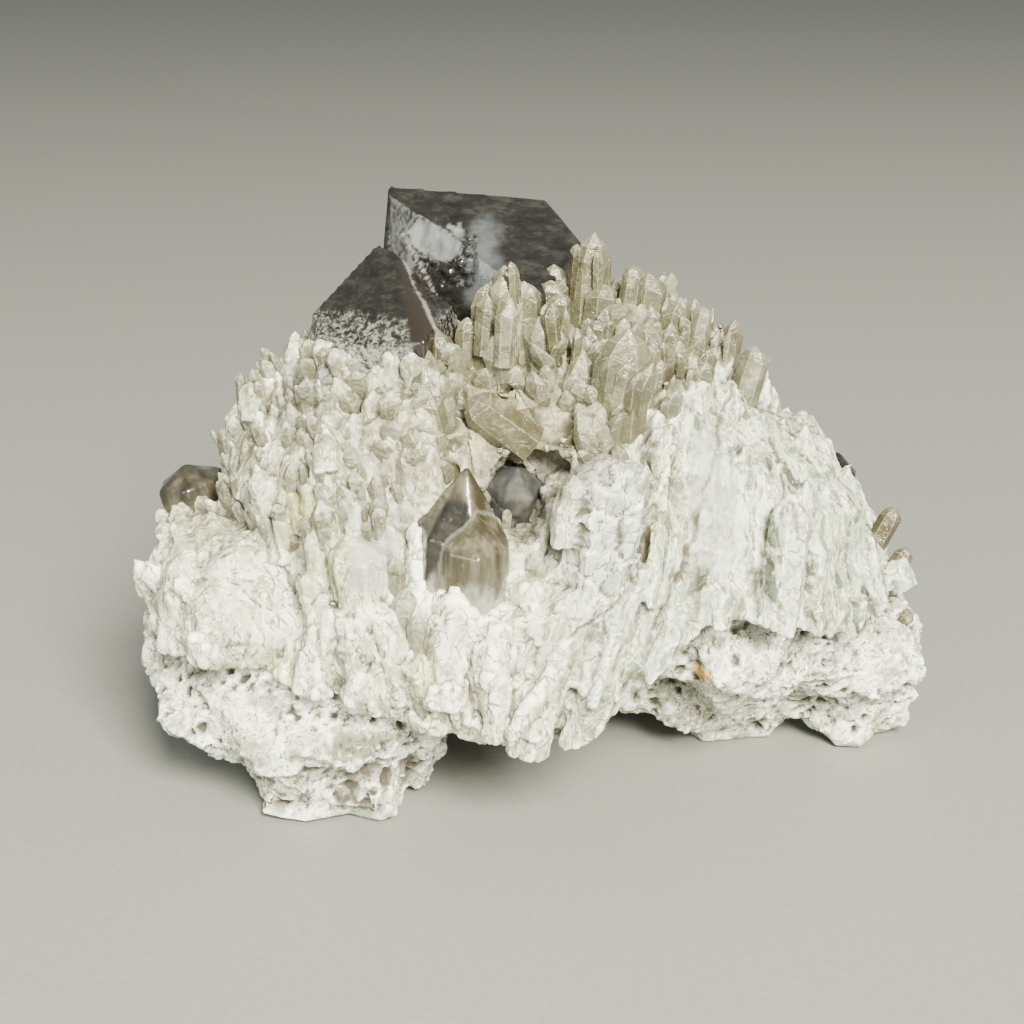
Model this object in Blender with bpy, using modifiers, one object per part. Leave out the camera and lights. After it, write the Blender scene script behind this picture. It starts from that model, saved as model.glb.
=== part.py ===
"""Smoky quartz cluster on its matrix, as CAD solids for Blender 4.5.

A dome of milky quartz crystals grew together on a pitted white rock and fans out upwards. Two large smoky
crystals stand on top, a smoky pair stands in front, and single smoky points stand at the sides and in a
pocket. The rock below carries the crust and rests on feet, with an open arch in front.

Sizes are millimetres times MM. +Z is up, the front looks along -Y, and the origin is on the floor under
the middle of the specimen.
"""
import math
import random

import bmesh
import bpy
from mathutils import Matrix, Vector, noise
from mathutils.bvhtree import BVHTree

MM = 0.001

# Driving dimensions

GAP = 0.3 * MM  # between neighbouring solids
RANDOM_SEED = 41

# Lumps that make up each body: middle and half sizes, in millimetres

CRUST_LUMPS = [
    ((-4, 2, 30), (43, 35, 40)),  # main dome
    ((-22, -5, 44), (22, 25, 22)),  # left shoulder
    ((9, 2, 46), (23, 25, 25)),  # right shoulder
    ((27, -2, 29), (21.5, 28, 27)),  # right flank
    ((38, 0, 24), (15, 20, 17)),  # foot of the right flank
    ((-48, -9, 30), (9, 12, 10)),  # small cluster at the left
    ((-42, -14, 30), (13, 18, 12)),  # left hem
    ((-4, 4, 57), (20, 18, 14)),  # summit
    ((-3, -26, 27), (30, 13, 15)),  # front skirt
    ((-2, 23, 30), (36, 15.5, 26)),  # back
]
ROCK_LUMPS = [
    ((-33, -19, 15), (20, 14, 12)),  # left front rock
    ((-29, -20, 4), (13, 10, 6)),  # left front foot
    ((-14, -3, 6), (5, 6, 8)),  # small foot behind it
    ((-37, 8, 16), (16, 19, 15)),  # left rear
    ((-46.5, -11, 20), (11.5, 14, 13)),  # left side
    ((0, 6, 25), (42, 31, 8)),  # middle, above the arch
    ((28, -6, 24), (17, 17, 12)),  # right front
    ((21, 0, 9), (12, 9, 7)),  # right front, low edge
    ((31, 5, 8), (11, 9, 10)),  # right middle foot
    ((49.8, 5, 10), (9.3, 11, 12)),  # right outer foot
    ((46, 1, 16), (13, 14, 9)),  # right side
    ((-28, 27, 9), (14, 11, 11)),  # left back foot
    ((26, 28, 11), (18, 11, 13)),  # right back foot
]
POCKET_LUMPS = [
    ((-4, -30, 47.5), (5.0, 11, 5.5)),  # the dark hollow in front
    ((-1.5, -30, 51), (6.0, 9, 4.0)),
]

# The seam between crust and rock: its height in front at places across, and behind

SEAM_FRONT = [(-60, 25), (-42, 24.5), (-28, 21), (-12, 16.5), (0, 14.3), (8, 18), (14, 25), (21, 32),
              (32, 30), (46, 23), (60, 22)]
SEAM_BACK = 27.0
SEAM_BLEND = (-25.0, -8.0)  # from front to back height between these places along Y

# Body meshes

VOXEL = 2.2 * MM
CRUST_ROUGH = ((9.0, 2.0), (4.0, 1.0))  # size and height of the bumps, coarse and fine
ROCK_ROUGH = ((12.0, 3.0), (5.0, 2.6))
CRUST_TRIANGLES = 1000
ROCK_TRIANGLES = 1500
PIT_COUNT = 18
PIT_RADIUS = (1.4, 2.6)
PIT_CENTRE = Vector((0.0, 0.0, 12.0))

# Crystals of the crust

GROWTH_CENTRE = Vector((0.0, 2.0, 14.0))
FAN = 0.009  # how fast the crystals lean outwards, per millimetre from the middle
CRYSTAL_COUNT = 158
RIDGE_SLOPE = 0.5  # where the surface is steeper than this, the crystals lie along it as ridges
FLANK_APEX = Vector((28.0, -4.0, 82.0))  # the ridges of the right flank spread downwards from here
CORNERS = 6

# Chosen crystals of the crust: tip, way it points, radius, length of the pointed end, length of the prism

CHOSEN_CRYSTALS = [
    ((7.0, -7, 80.4), (0.05, -0.05, 1), 3.0, 5.0, 14),
    ((13.3, -2, 75.3), (0.12, -0.05, 1), 2.7, 4.0, 12),
    ((16.4, -4, 73.6), (0.15, 0, 1), 2.4, 3.6, 12),
    ((19.6, -5, 70.9), (0.2, 0, 1), 2.4, 3.4, 12),
    ((23.4, -4, 69.0), (0.25, 0, 1), 2.3, 3.0, 12),
    ((11.4, -21, 69.2), (0.1, -0.3, 1), 3.6, 5.5, 14),
    ((-5.1, -17, 78.0), (0, -0.1, 1), 3.9, 6.0, 16),
    ((2.1, -17, 72.8), (0.05, -0.2, 1), 3.1, 4.6, 14),
    ((-15.6, -25, 65.5), (-0.05, -0.2, 1), 3.0, 4.0, 14),
    ((-24.8, -34, 45.0), (-0.05, -0.1, 1), 4.2, 3.0, 14),
    ((8.8, -33, 56.4), (0.08, 0, 1), 5.6, 2.6, 25),
    ((31.6, -4, 63.4), (0.3, 0, 1), 2.6, 3.4, 12),
    ((26.2, -6, 65.6), (0.3, 0, 1), 2.6, 3.0, 12),
    ((39.2, -2, 54.0), (0.35, 0, 1), 2.8, 3.0, 14),
    ((-44.2, -8, 55.8), (-0.2, 0, 1), 3.0, 4.0, 14),
    ((-41.0, -9, 61.6), (-0.2, 0, 1), 2.9, 3.6, 12),
    ((-38.6, -9, 63.8), (-0.2, 0, 1), 2.6, 3.4, 12),
    ((-35.2, -9, 67.0), (-0.15, 0, 1), 2.6, 3.4, 12),
    ((-54.4, -13, 34.4), (-0.15, 0, 1), 2.5, 3.0, 9),
]

# Large smoky crystals: each flat face by the way it looks and one point on it, in millimetres

BACK_SMOKY_FACES = [
    ((0.147, -0.548, 0.825), (-21.5, 3, 84.6)),  # broad face towards the front
    ((-0.44, -0.88, 0.19), (-21.5, 3, 84.6)),  # left front face
    ((-1.0, 0.0, 0.1), (-22.2, 3, 84.0)),  # left side
    ((-0.03, 0.75, 0.6), (-21.5, 4.4, 85.4)),  # behind the top edge
    ((0.77, 0.1, 0.62), (0.7, 7, 83.1)),  # right shoulder
    ((0.9, -0.43, 0.0), (6.9, 4, 70)),  # right side
    ((0.1, -1.0, 0.0), (-8, -12, 70)),  # front side
    ((0.0, 1.0, 0.1), (-8, 19, 70)),  # back
]
FRONT_SMOKY_FACES = [
    ((-0.338, -0.655, 0.675), (-20.3, -12, 78.6)),  # large face to the left and front
    ((0.597, -0.351, 0.722), (-20.3, -12, 78.6)),  # narrow face to the right
    ((0.95, -0.3, 0.0), (-12.2, -13, 68)),  # right side
    ((-0.95, -0.3, 0.1), (-32.0, -14, 69)),  # left side
    ((0.6, 0.55, 0.54), (-20.3, -12, 78.9)),  # behind the bright edge
    ((-0.7, 0.58, 0.41), (-22.2, -10, 80.9)),  # behind the left edge
    ((-0.3, -0.95, 0.0), (-25, -21.5, 66)),  # front side
    ((0.0, 1.0, 0.0), (-20, -1.5, 66)),  # back
]
SMOKY_BLOCK = ((-12, 0, 66), (28, 26, 40))  # rough block each one is cut from: middle and half size
SMOKY_ROOT = 48.0  # height of the hidden lower end

FRONT_PAIR = [
    ((-10.1, -30.5, 53.6), (0.1, -0.06, 1), 6.5, 9.5, 15),
    ((-8.8, -34.0, 47.4), (0.02, -0.08, 1), 5.0, 4.2, 16),
]
LEFT_POINT = [((-52.0, -6.0, 46.6), (-0.25, -0.05, 1), 5.2, 2.6, 10)]
POCKET_POINT = [((-3.4, -24.5, 51.4), (0.15, -0.45, 1), 4.0, 3.0, 12)]
RIGHT_POINT = [((45.0, 4.0, 45.8), (0.1, 0.0, 1), 3.7, 3.2, 14)]


def clear_scene():
    for item in list(bpy.data.objects):
        bpy.data.objects.remove(item)


def new_collection(name):
    group = bpy.data.collections.new(name)
    bpy.context.scene.collection.children.link(group)
    return group


def stone_material(name, colour, roughness, see_through=0.0):
    material = bpy.data.materials.new(name)
    material.use_nodes = True
    shader = material.node_tree.nodes["Principled BSDF"]
    shader.inputs["Base Color"].default_value = (*colour, 1.0)
    shader.inputs["Roughness"].default_value = roughness
    shader.inputs["Metallic"].default_value = 0.0
    shader.inputs["Transmission Weight"].default_value = see_through
    return material


def new_object(name, mesh_data, group):
    mesh = bpy.data.meshes.new(name)
    mesh_data.to_mesh(mesh)
    mesh_data.free()
    item = bpy.data.objects.new(name, mesh)
    group.objects.link(item)
    return item


def as_cutter(item):
    item.hide_render = True
    item.display_type = "WIRE"
    return item


def bake_modifiers(item):
    """Replace the mesh by what its modifiers make of it."""
    depsgraph = bpy.context.evaluated_depsgraph_get()
    mesh = bpy.data.meshes.new_from_object(item.evaluated_get(depsgraph))
    item.modifiers.clear()
    item.data = mesh


def combine(item, other, operation, overlapping=False):
    """Join, cut or intersect with another closed solid."""
    step = item.modifiers.new(operation.title(), "BOOLEAN")
    step.object = other
    step.operation = operation
    step.use_self = overlapping
    bake_modifiers(item)


def add_lump(mesh_data, middle, half_sizes, rounds=4):
    place = Matrix.Translation(Vector(middle) * MM)
    size = Matrix.Diagonal((*(Vector(half_sizes) * MM), 1.0))
    bmesh.ops.create_icosphere(mesh_data, subdivisions=rounds, radius=1.0, matrix=place @ size)


def roughen(item, layers):
    """Move each point along its normal by layers of smooth noise."""
    mesh = item.data
    normals = [vertex.normal.copy() for vertex in mesh.vertices]
    for vertex, normal in zip(mesh.vertices, normals):
        rise = 0.0
        for size, height in layers:
            rise += height * MM * noise.noise(vertex.co / (size * MM))
        vertex.co += normal * rise


def lump_body(name, lumps, rough_layers, triangles, group):
    """Fuse lumps into one rough rock-like body with about the given number of triangles."""
    shape = bmesh.new()
    for middle, half_sizes in lumps:
        add_lump(shape, middle, half_sizes)
    body = new_object(name, shape, group)
    fuse = body.modifiers.new("Fuse", "REMESH")
    fuse.mode = "VOXEL"
    fuse.voxel_size = VOXEL
    bake_modifiers(body)
    roughen(body, rough_layers)
    body.data.calc_loop_triangles()
    thin = body.modifiers.new("Thin", "DECIMATE")
    thin.ratio = triangles / len(body.data.loop_triangles)
    bake_modifiers(body)
    return body


def seam_height(x, y):
    """Height of the seam surface in millimetres."""
    front = SEAM_FRONT[-1][1]
    for (x0, z0), (x1, z1) in zip(SEAM_FRONT, SEAM_FRONT[1:]):
        if x0 <= x <= x1:
            front = z0 + (z1 - z0) * (x - x0) / (x1 - x0)
            break
    start, end = SEAM_BLEND
    share = min(max((y - start) / (end - start), 0.0), 1.0)
    share = share * share * (3.0 - 2.0 * share)
    return front + (SEAM_BACK - front) * share


def seam_cutter(name, above, group):
    """Solid that fills everything above or below the seam, half a gap away from it."""
    shape = bmesh.new()
    cells = 26
    reach = 75 * MM
    bmesh.ops.create_grid(shape, x_segments=cells, y_segments=cells, size=reach)
    bmesh.ops.triangulate(shape, faces=shape.faces[:], quad_method="FIXED")
    offset = GAP / 2 if above else -GAP / 2
    for vertex in shape.verts:
        ripple = 0.8 * noise.noise(vertex.co / (7 * MM))
        height = seam_height(vertex.co.x / MM, vertex.co.y / MM) + ripple
        vertex.co.z = height * MM + offset
    shape.normal_update()
    sheet = list(shape.faces)
    raised = bmesh.ops.extrude_face_region(shape, geom=sheet)
    far = 120 * MM if above else -30 * MM
    for vertex in raised["geom"]:
        if isinstance(vertex, bmesh.types.BMVert):
            vertex.co.z = far
    bmesh.ops.recalc_face_normals(shape, faces=list(shape.faces))
    return as_cutter(new_object(name, shape, group))


def add_crystal(shape, tip, way, radius, point, prism, turn=0.0, lean=(0.0, 0.0), flat=1.0, grow=0.0):
    """Six-sided prism that ends in a pointed pyramid with its apex at the tip.

    Lengths are millimetres. Lean moves the apex sideways by a share of the radius, flat squeezes the
    prism one way, and grow makes it larger all round, for the socket it stands in.
    """
    axis = Vector(way).normalized()
    turned = axis.to_track_quat("Z", "Y").to_matrix().to_4x4()
    length = prism + 2 * grow
    wide = radius + grow
    middle = Vector(tip) - axis * (point + prism / 2)
    place = Matrix.Translation(middle * MM) @ turned @ Matrix.Rotation(turn, 4, "Z")
    place = place @ Matrix.Diagonal((1.0, flat, 1.0, 1.0))
    made = bmesh.ops.create_cone(shape, cap_ends=True, segments=CORNERS, radius1=wide * MM * 0.94,
                                 radius2=wide * MM, depth=length * MM, matrix=place)
    top = max({face for vertex in made["verts"] for face in vertex.link_faces},
              key=lambda face: face.calc_center_median().dot(axis))
    apex = bmesh.ops.poke(shape, faces=[top])["verts"][0]
    shift = place.to_3x3() @ Vector((lean[0] * radius, lean[1] * radius, 0.0)) * MM
    apex.co += axis * (point + grow * 0.5) * MM + shift


def crystal_object(name, crystals, group, grow=0.0):
    """One solid from a few crystals that overlap."""
    solid = None
    for index, (tip, way, radius, point, prism) in enumerate(crystals):
        shape = bmesh.new()
        add_crystal(shape, tip, way, radius, point, prism, turn=0.35 + 0.5 * index, grow=grow)
        piece = new_object(name, shape, group)
        if solid is None:
            solid = piece
        else:
            combine(solid, piece, "UNION")
            bpy.data.objects.remove(piece)
    return solid


def cut_crystal(name, faces, group, grow=0.0):
    """Crystal cut from a block by its flat faces, each moved out by grow for a socket."""
    shape = bmesh.new()
    middle, half_sizes = SMOKY_BLOCK
    place = Matrix.Translation(Vector(middle) * MM)
    size = Matrix.Diagonal((*(Vector(half_sizes) * 2 * MM), 1.0))
    bmesh.ops.create_cube(shape, size=1.0, matrix=place @ size)
    root = ((0.0, 0.0, -1.0), (0.0, 0.0, SMOKY_ROOT))
    for looks, point in [*faces, root]:
        normal = Vector(looks).normalized()
        on_face = Vector(point) * MM + normal * grow * MM
        parts = shape.verts[:] + shape.edges[:] + shape.faces[:]
        cut = bmesh.ops.bisect_plane(shape, geom=parts, plane_co=on_face, plane_no=normal, clear_outer=True)
        rim = [edge for edge in cut["geom_cut"] if isinstance(edge, bmesh.types.BMEdge)]
        if rim:
            bmesh.ops.contextual_create(shape, geom=rim)
    bmesh.ops.recalc_face_normals(shape, faces=list(shape.faces))
    return new_object(name, shape, group)


def main_smoky(name, group, grow=0.0):
    solid = cut_crystal(name, BACK_SMOKY_FACES, group, grow)
    front = cut_crystal(name, FRONT_SMOKY_FACES, group, grow)
    combine(solid, front, "UNION")
    bpy.data.objects.remove(front)
    return solid


def even_places(body, centre, count, lowest, highest):
    """Places and normals on a body in even directions from a centre, by the golden angle.

    Lowest and highest limit the directions, from -1 straight down to 1 straight up.
    """
    tree = BVHTree.FromObject(body, bpy.context.evaluated_depsgraph_get())
    golden = math.pi * (3.0 - math.sqrt(5.0))
    places = []
    for index in range(count):
        rise = highest - (highest - lowest) * (index + 0.5) / count
        around = index * golden
        flat = math.sqrt(max(1.0 - rise * rise, 0.0))
        way = Vector((flat * math.cos(around), flat * math.sin(around), rise))
        place, normal, _, _ = tree.ray_cast(centre * MM + way * 150 * MM, -way)
        if place is not None:
            places.append((place / MM, normal))
    return places


def growth_way(place, normal, ridge):
    """Way a crystal points: it fans out from the middle, or lies along a steep side."""
    fan = Vector((place.x * FAN, place.y * FAN, 1.0)).normalized()
    if not ridge:
        return fan
    share = min(max((place.x + 8) / 16, 0.0), 1.0)
    towards = fan.lerp((FLANK_APEX - place).normalized(), share)
    return (towards - normal * (towards.dot(normal) - 0.08)).normalized()


def crust_crystals(body, group):
    """Every crystal of the crust as one object whose parts overlap."""
    draw = random.Random(RANDOM_SEED)
    shape = bmesh.new()
    for tip, way, radius, point, prism in CHOSEN_CRYSTALS:
        add_crystal(shape, tip, way, radius, point, prism, turn=draw.uniform(0, 1),
                    lean=(draw.uniform(-0.3, 0.3), draw.uniform(-0.3, 0.3)))
    for place, normal in even_places(body, GROWTH_CENTRE, CRYSTAL_COUNT, -0.05, 1.0):
        ridge = normal.z < RIDGE_SLOPE
        way = growth_way(place, normal, ridge)
        way += Vector((draw.uniform(-0.1, 0.1), draw.uniform(-0.1, 0.1), 0.0))
        if ridge:
            radius = draw.uniform(2.0, 3.4)
            prism = draw.uniform(12, 20)
            tip = place + normal * draw.uniform(-0.5, 0.1) * radius + way * prism / 2
        else:
            radius = draw.uniform(2.0, 3.3)
            prism = 9
            tip = place + way * draw.uniform(2.0, 5.0)
        add_crystal(shape, tip, way, radius, radius * draw.uniform(0.9, 1.5), prism, turn=draw.uniform(0, 1),
                    flat=draw.uniform(0.75, 1), lean=(draw.uniform(-0.35, 0.35), draw.uniform(-0.35, 0.35)))
    return as_cutter(new_object("crust_crystals", shape, group))


def keep_largest(item):
    """Drop the small shells that a union can leave inside the body."""
    shape = bmesh.new()
    shape.from_mesh(item.data)
    shape.verts.ensure_lookup_table()
    unseen = set(shape.verts)
    groups = []
    while unseen:
        queue = [unseen.pop()]
        found = set(queue)
        while queue:
            for edge in queue.pop().link_edges:
                for vertex in edge.verts:
                    if vertex in unseen:
                        unseen.remove(vertex)
                        found.add(vertex)
                        queue.append(vertex)
        groups.append(found)
    largest = max(groups, key=len)
    spare = [vertex for vertex in shape.verts if vertex not in largest]
    bmesh.ops.delete(shape, geom=spare, context="VERTS")
    shape.to_mesh(item.data)
    shape.free()


def join_flat_faces(item):
    """Join faces that lie in one plane."""
    shape = bmesh.new()
    shape.from_mesh(item.data)
    bmesh.ops.dissolve_limit(shape, angle_limit=math.radians(1.0), verts=shape.verts, edges=shape.edges)
    shape.to_mesh(item.data)
    shape.free()


def matrix_rock(group, cutters):
    rock = lump_body("matrix_rock", ROCK_LUMPS, ROCK_ROUGH, ROCK_TRIANGLES, group)
    draw = random.Random(RANDOM_SEED)
    pits = bmesh.new()
    for place, normal in even_places(rock, PIT_CENTRE, PIT_COUNT, -0.3, 0.3):
        radius = draw.uniform(*PIT_RADIUS)
        add_lump(pits, place + normal * radius * 0.3, (radius, radius, radius * 0.8), rounds=1)
    combine(rock, as_cutter(new_object("pits", pits, cutters)), "DIFFERENCE", overlapping=True)
    combine(rock, seam_cutter("below_seam", False, cutters), "INTERSECT")
    floor = bmesh.new()
    bmesh.ops.create_cube(floor, size=200 * MM, matrix=Matrix.Translation((0, 0, -100 * MM)))
    combine(rock, as_cutter(new_object("floor_cut", floor, cutters)), "DIFFERENCE")
    keep_largest(rock)
    return rock


def crystal_crust(group, cutters, sockets):
    crust = lump_body("crystal_crust", CRUST_LUMPS, CRUST_ROUGH, CRUST_TRIANGLES, group)
    pocket = bmesh.new()
    for middle, half_sizes in POCKET_LUMPS:
        add_lump(pocket, middle, half_sizes, rounds=2)
    crystals = crust_crystals(crust, cutters)
    combine(crust, crystals, "UNION", overlapping=True)
    keep_largest(crust)
    join_flat_faces(crust)
    combine(crust, as_cutter(new_object("pocket", pocket, cutters)), "DIFFERENCE", overlapping=True)
    combine(crust, seam_cutter("above_seam", True, cutters), "INTERSECT")
    for socket in sockets:
        combine(crust, as_cutter(socket), "DIFFERENCE")
    keep_largest(crust)
    return crust


def build():
    clear_scene()
    group = new_collection("smoky_quartz_cluster")
    cutters = new_collection("cutters")
    grow = GAP / MM
    smoky = [
        main_smoky("main_smoky_crystals", group),
        crystal_object("front_smoky_pair", FRONT_PAIR, group),
        crystal_object("left_smoky_point", LEFT_POINT, group),
        crystal_object("pocket_smoky_point", POCKET_POINT, group),
        crystal_object("right_smoky_point", RIGHT_POINT, group),
    ]
    sockets = [
        main_smoky("main_socket", cutters, grow),
        crystal_object("pair_socket", FRONT_PAIR, cutters, grow),
        crystal_object("left_socket", LEFT_POINT, cutters, grow),
        crystal_object("pocket_socket", POCKET_POINT, cutters, grow),
        crystal_object("right_socket", RIGHT_POINT, cutters, grow),
    ]
    rock = matrix_rock(group, cutters)
    crust = crystal_crust(group, cutters, sockets)
    rock.data.materials.append(stone_material("matrix", (0.80, 0.80, 0.74), 0.85))
    crust.data.materials.append(stone_material("milky_quartz", (0.72, 0.70, 0.62), 0.45))
    dark = stone_material("smoky_quartz", (0.20, 0.18, 0.15), 0.08, see_through=0.9)
    for item in smoky:
        item.data.materials.append(dark)
    return [rock, crust, *smoky]


build()
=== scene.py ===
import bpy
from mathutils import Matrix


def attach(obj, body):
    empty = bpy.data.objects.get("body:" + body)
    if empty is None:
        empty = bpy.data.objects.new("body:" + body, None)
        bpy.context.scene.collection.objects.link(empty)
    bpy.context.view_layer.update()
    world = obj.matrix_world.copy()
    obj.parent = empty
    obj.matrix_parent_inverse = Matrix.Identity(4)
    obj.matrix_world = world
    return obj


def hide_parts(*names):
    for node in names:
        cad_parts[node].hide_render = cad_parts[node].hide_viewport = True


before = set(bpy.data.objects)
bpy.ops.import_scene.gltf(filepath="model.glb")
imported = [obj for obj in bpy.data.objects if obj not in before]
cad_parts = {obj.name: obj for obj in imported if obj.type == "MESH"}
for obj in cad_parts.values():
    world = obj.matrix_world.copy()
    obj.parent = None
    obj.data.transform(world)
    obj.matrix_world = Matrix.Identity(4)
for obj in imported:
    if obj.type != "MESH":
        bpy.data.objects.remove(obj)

"""Looks of the smoky quartz cluster.

A crust of milky quartz crystals with a white coating fans out over a crumbly white rock. Large smoky crystals
stand on top, a smoky pair in front, and single smoky points at the sides and in a hollow.

Places and sizes are millimetres unless they say otherwise, +Z is up and the front looks along -Y.
"""
import math
import random

import bmesh
import bpy
import numpy as np
from mathutils import Matrix, Vector
from mathutils.bvhtree import BVHTree

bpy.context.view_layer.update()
MM = 0.001
SEED = 41

# Growth: crystals fan out from a point far below, and on the right flank spread downwards from an apex

GROWTH_CENTRE = np.array((0.0, 2.0, 14.0))
FAN_ROOT = np.array((0.0, 0.0, -111.0))
FLANK_APEX = np.array((28.0, -4.0, 84.0))

# Finest mesh steps

ROCK_STEP = 0.545
SMOKY_STEP = 0.48

# The crust in three parts that overlap a little: mesh step, then point and outward normal of each cut

CRUST_PARTS = {
    "crust_front_left": (0.42, [((-5, 0, 0), (1, 0, 0)), ((0, 8, 0), (0, 1, 0))]),
    "crust_front_right": (0.43, [((-7, 0, 0), (-1, 0, 0)), ((0, 8, 0), (0, 1, 0))]),
    "crust_back": (0.56, [((0, 6, 0), (0, -1, 0))]),
}


# Numbers: noise, masks and colours

def linear(code):
    """Turn an sRGB hex colour into linear red, green, blue and alpha."""
    parts = [int(code[index:index + 2], 16) / 255 for index in (1, 3, 5)]
    return (*[part / 12.92 if part <= 0.04045 else ((part + 0.055) / 1.055) ** 2.4 for part in parts], 1.0)


def scatter(cells, seed):
    """Repeatable number from 0 to 1 for each cell of a grid."""
    mixed = cells[:, 0] * 73856093 ^ cells[:, 1] * 19349663 ^ cells[:, 2] * 83492791 ^ seed * 2654435761
    mixed = (mixed ^ (mixed >> 13)) * 1274126177 & 0xFFFFFFFF
    mixed = (mixed ^ (mixed >> 16)) * 668265263 & 0xFFFFFFFF
    return (mixed ^ (mixed >> 15)) / 0xFFFFFFFF


def bumps(places, size, seed=0):
    """Smooth noise from about -1 to 1, with bumps of the given size, one or three sizes."""
    scaled = places / np.asarray(size, float)
    cells = np.floor(scaled).astype(np.int64)
    part = scaled - cells
    ease = part ** 3 * (part * (part * 6 - 15) + 10)
    total = np.zeros(len(places))
    for corner in np.ndindex(2, 2, 2):
        step = np.array(corner)
        slope = np.stack([scatter(cells + step, seed * 3 + axis) for axis in range(3)], axis=1) * 2 - 1
        share = np.prod(np.where(step == 1, ease, 1 - ease), axis=1)
        total += share * ((part - step) * slope).sum(axis=1)
    return total * 1.7


def layered(places, size, seed=0, layers=3, keep=0.5):
    """Noise with finer and fainter layers on it."""
    sizes = np.asarray(size, float)
    return sum(keep ** layer * bumps(places, sizes / 2 ** layer, seed + layer) for layer in range(layers))


def grains(places, size, seed=0):
    """For each place, its way from the nearest scattered grain's middle in grain sizes, how far it is from the
    gap between grains, and a random number for the grain."""
    scaled = places / np.asarray(size, float)
    cells = np.floor(scaled).astype(np.int64)
    nearest = np.full(len(places), 9.0)
    second = np.full(len(places), 9.0)
    number = np.zeros(len(places))
    offset = np.zeros(places.shape)
    for corner in np.ndindex(3, 3, 3):
        cell = cells + np.array(corner) - 1
        middle = cell + np.stack([scatter(cell, seed * 5 + axis) for axis in range(3)], axis=1)
        away = scaled - middle
        far = np.linalg.norm(away, axis=1)
        closer = far < nearest
        second = np.where(closer, nearest, np.minimum(second, far))
        number = np.where(closer, scatter(cell, seed * 5 + 4), number)
        offset = np.where(closer[:, None], away, offset)
        nearest = np.where(closer, far, nearest)
    return offset, second - nearest, number


def facets(lines, size, seed, groove=0.3):
    """Height of flat tilted crystal faces that overlap like tiles, about 0 to 1.4, and a number for each."""
    offset, gap, number = grains(lines, size, seed)
    tilt_one = (number * 7.31) % 1 - 0.5
    tilt_two = (number * 13.7) % 1 - 0.5
    height = 0.7 * number + 1.1 * offset[:, 0] * tilt_one + 1.1 * offset[:, 1] * tilt_two + 0.45 * offset[:, 2]
    return height + 0.5 - groove * (1 - ease(gap, 0.0, 0.12)), number


def ease(values, low, high):
    """0 below low, 1 above high, and a smooth rise between them."""
    share = np.clip((values - low) / (high - low), 0.0, 1.0)
    return share * share * (3 - 2 * share)


def near(places, middle, reach, soft=0.5):
    """1 inside an ellipsoid, falling to 0 over the soft share outside it."""
    far = np.linalg.norm((places - np.array(middle)) / np.asarray(reach, float), axis=1)
    return 1 - ease(far, 1 - soft, 1 + soft)


def spots(places, patches):
    """The strongest of several patches: middle, reach, softness."""
    return np.max([near(places, middle, reach, soft) for middle, reach, soft in patches], axis=0)


def line_distance(places, corners, closed):
    """How far each place is from a line drawn on the front view (across, up), and whether it is inside."""
    flat = places[:, (0, 2)]
    nearest = np.full(len(flat), 99.0)
    inside = np.zeros(len(flat), bool)
    for index in range(0 if closed else 1, len(corners)):
        start, end = np.array(corners[index - 1], float), np.array(corners[index], float)
        side = end - start
        share = np.clip(((flat - start) @ side) / (side @ side), 0, 1)
        nearest = np.minimum(nearest, np.linalg.norm(flat - start - share[:, None] * side, axis=1))
        crosses = (start[1] > flat[:, 1]) != (end[1] > flat[:, 1])
        inside ^= crosses & (flat[:, 0] < start[0] + (flat[:, 1] - start[1]) / (side[1] or 1) * side[0])
    return nearest, inside


def patch(places, corners, soft):
    """1 inside an outline drawn on the front view, falling to 0 over the soft distance."""
    nearest, inside = line_distance(places, corners, True)
    return ease(np.where(inside, nearest, -nearest), -soft, soft) * (1 - ease(places[:, 1], 4, 8))


def stroke(places, corners, width):
    """1 on a line drawn on the front view, falling to 0 at its width."""
    nearest, _ = line_distance(places, corners, False)
    return (1 - ease(nearest, 0.3 * width, width)) * (1 - ease(places[:, 1], 4, 8))


def fan_lines(places):
    """Places as fibres see them: two ways across the fibres and one along, from the growth root below."""
    way = places - FAN_ROOT
    along = np.linalg.norm(way, axis=1)
    return np.stack([156 * way[:, 0] / way[:, 2], 156 * way[:, 1] / way[:, 2], along], axis=1)


def flank_lines(places):
    """The same for the right flank, whose fibres spread downwards from the apex."""
    way = places - FLANK_APEX
    along = np.linalg.norm(way, axis=1)
    down = np.maximum(-way[:, 2], 1.0)
    return np.stack([38 * np.arctan2(way[:, 0], down), 38 * np.arctan2(way[:, 1], down), along], axis=1)


# Meshes

def read_places(mesh):
    places = np.empty(len(mesh.vertices) * 3)
    mesh.vertices.foreach_get("co", places)
    return places.reshape(-1, 3) / MM


def write_places(mesh, places):
    mesh.vertices.foreach_set("co", (places * MM).ravel())
    mesh.update()


def read_normals(mesh):
    normals = np.empty(len(mesh.vertices) * 3)
    mesh.vertex_normals.foreach_get("vector", normals)
    return normals.reshape(-1, 3)


def read_links(mesh):
    links = np.empty(len(mesh.edges) * 2, np.int64)
    mesh.edges.foreach_get("vertices", links)
    return links.reshape(-1, 2)


def soften(values, links, rounds):
    """Average each value with its neighbours a number of times."""
    flat = values.reshape(len(values), -1)
    count = np.bincount(links.ravel(), minlength=len(flat))[:, None]
    for _ in range(rounds):
        total = np.stack([
            np.bincount(links[:, 0], column[links[:, 1]], len(flat))
            + np.bincount(links[:, 1], column[links[:, 0]], len(flat)) for column in flat.T], axis=1)
        flat = 0.5 * flat + 0.5 * total / np.maximum(count, 1)
    return flat.reshape(values.shape)


def store(mesh, name, values):
    layer = mesh.attributes.new(name, "FLOAT", "POINT")
    layer.data.foreach_set("value", np.asarray(values, np.float32))


def new_piece(name, mesh):
    mesh.name = name
    piece = bpy.data.objects.new(name, mesh)
    bpy.context.scene.collection.objects.link(piece)
    return piece


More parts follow.
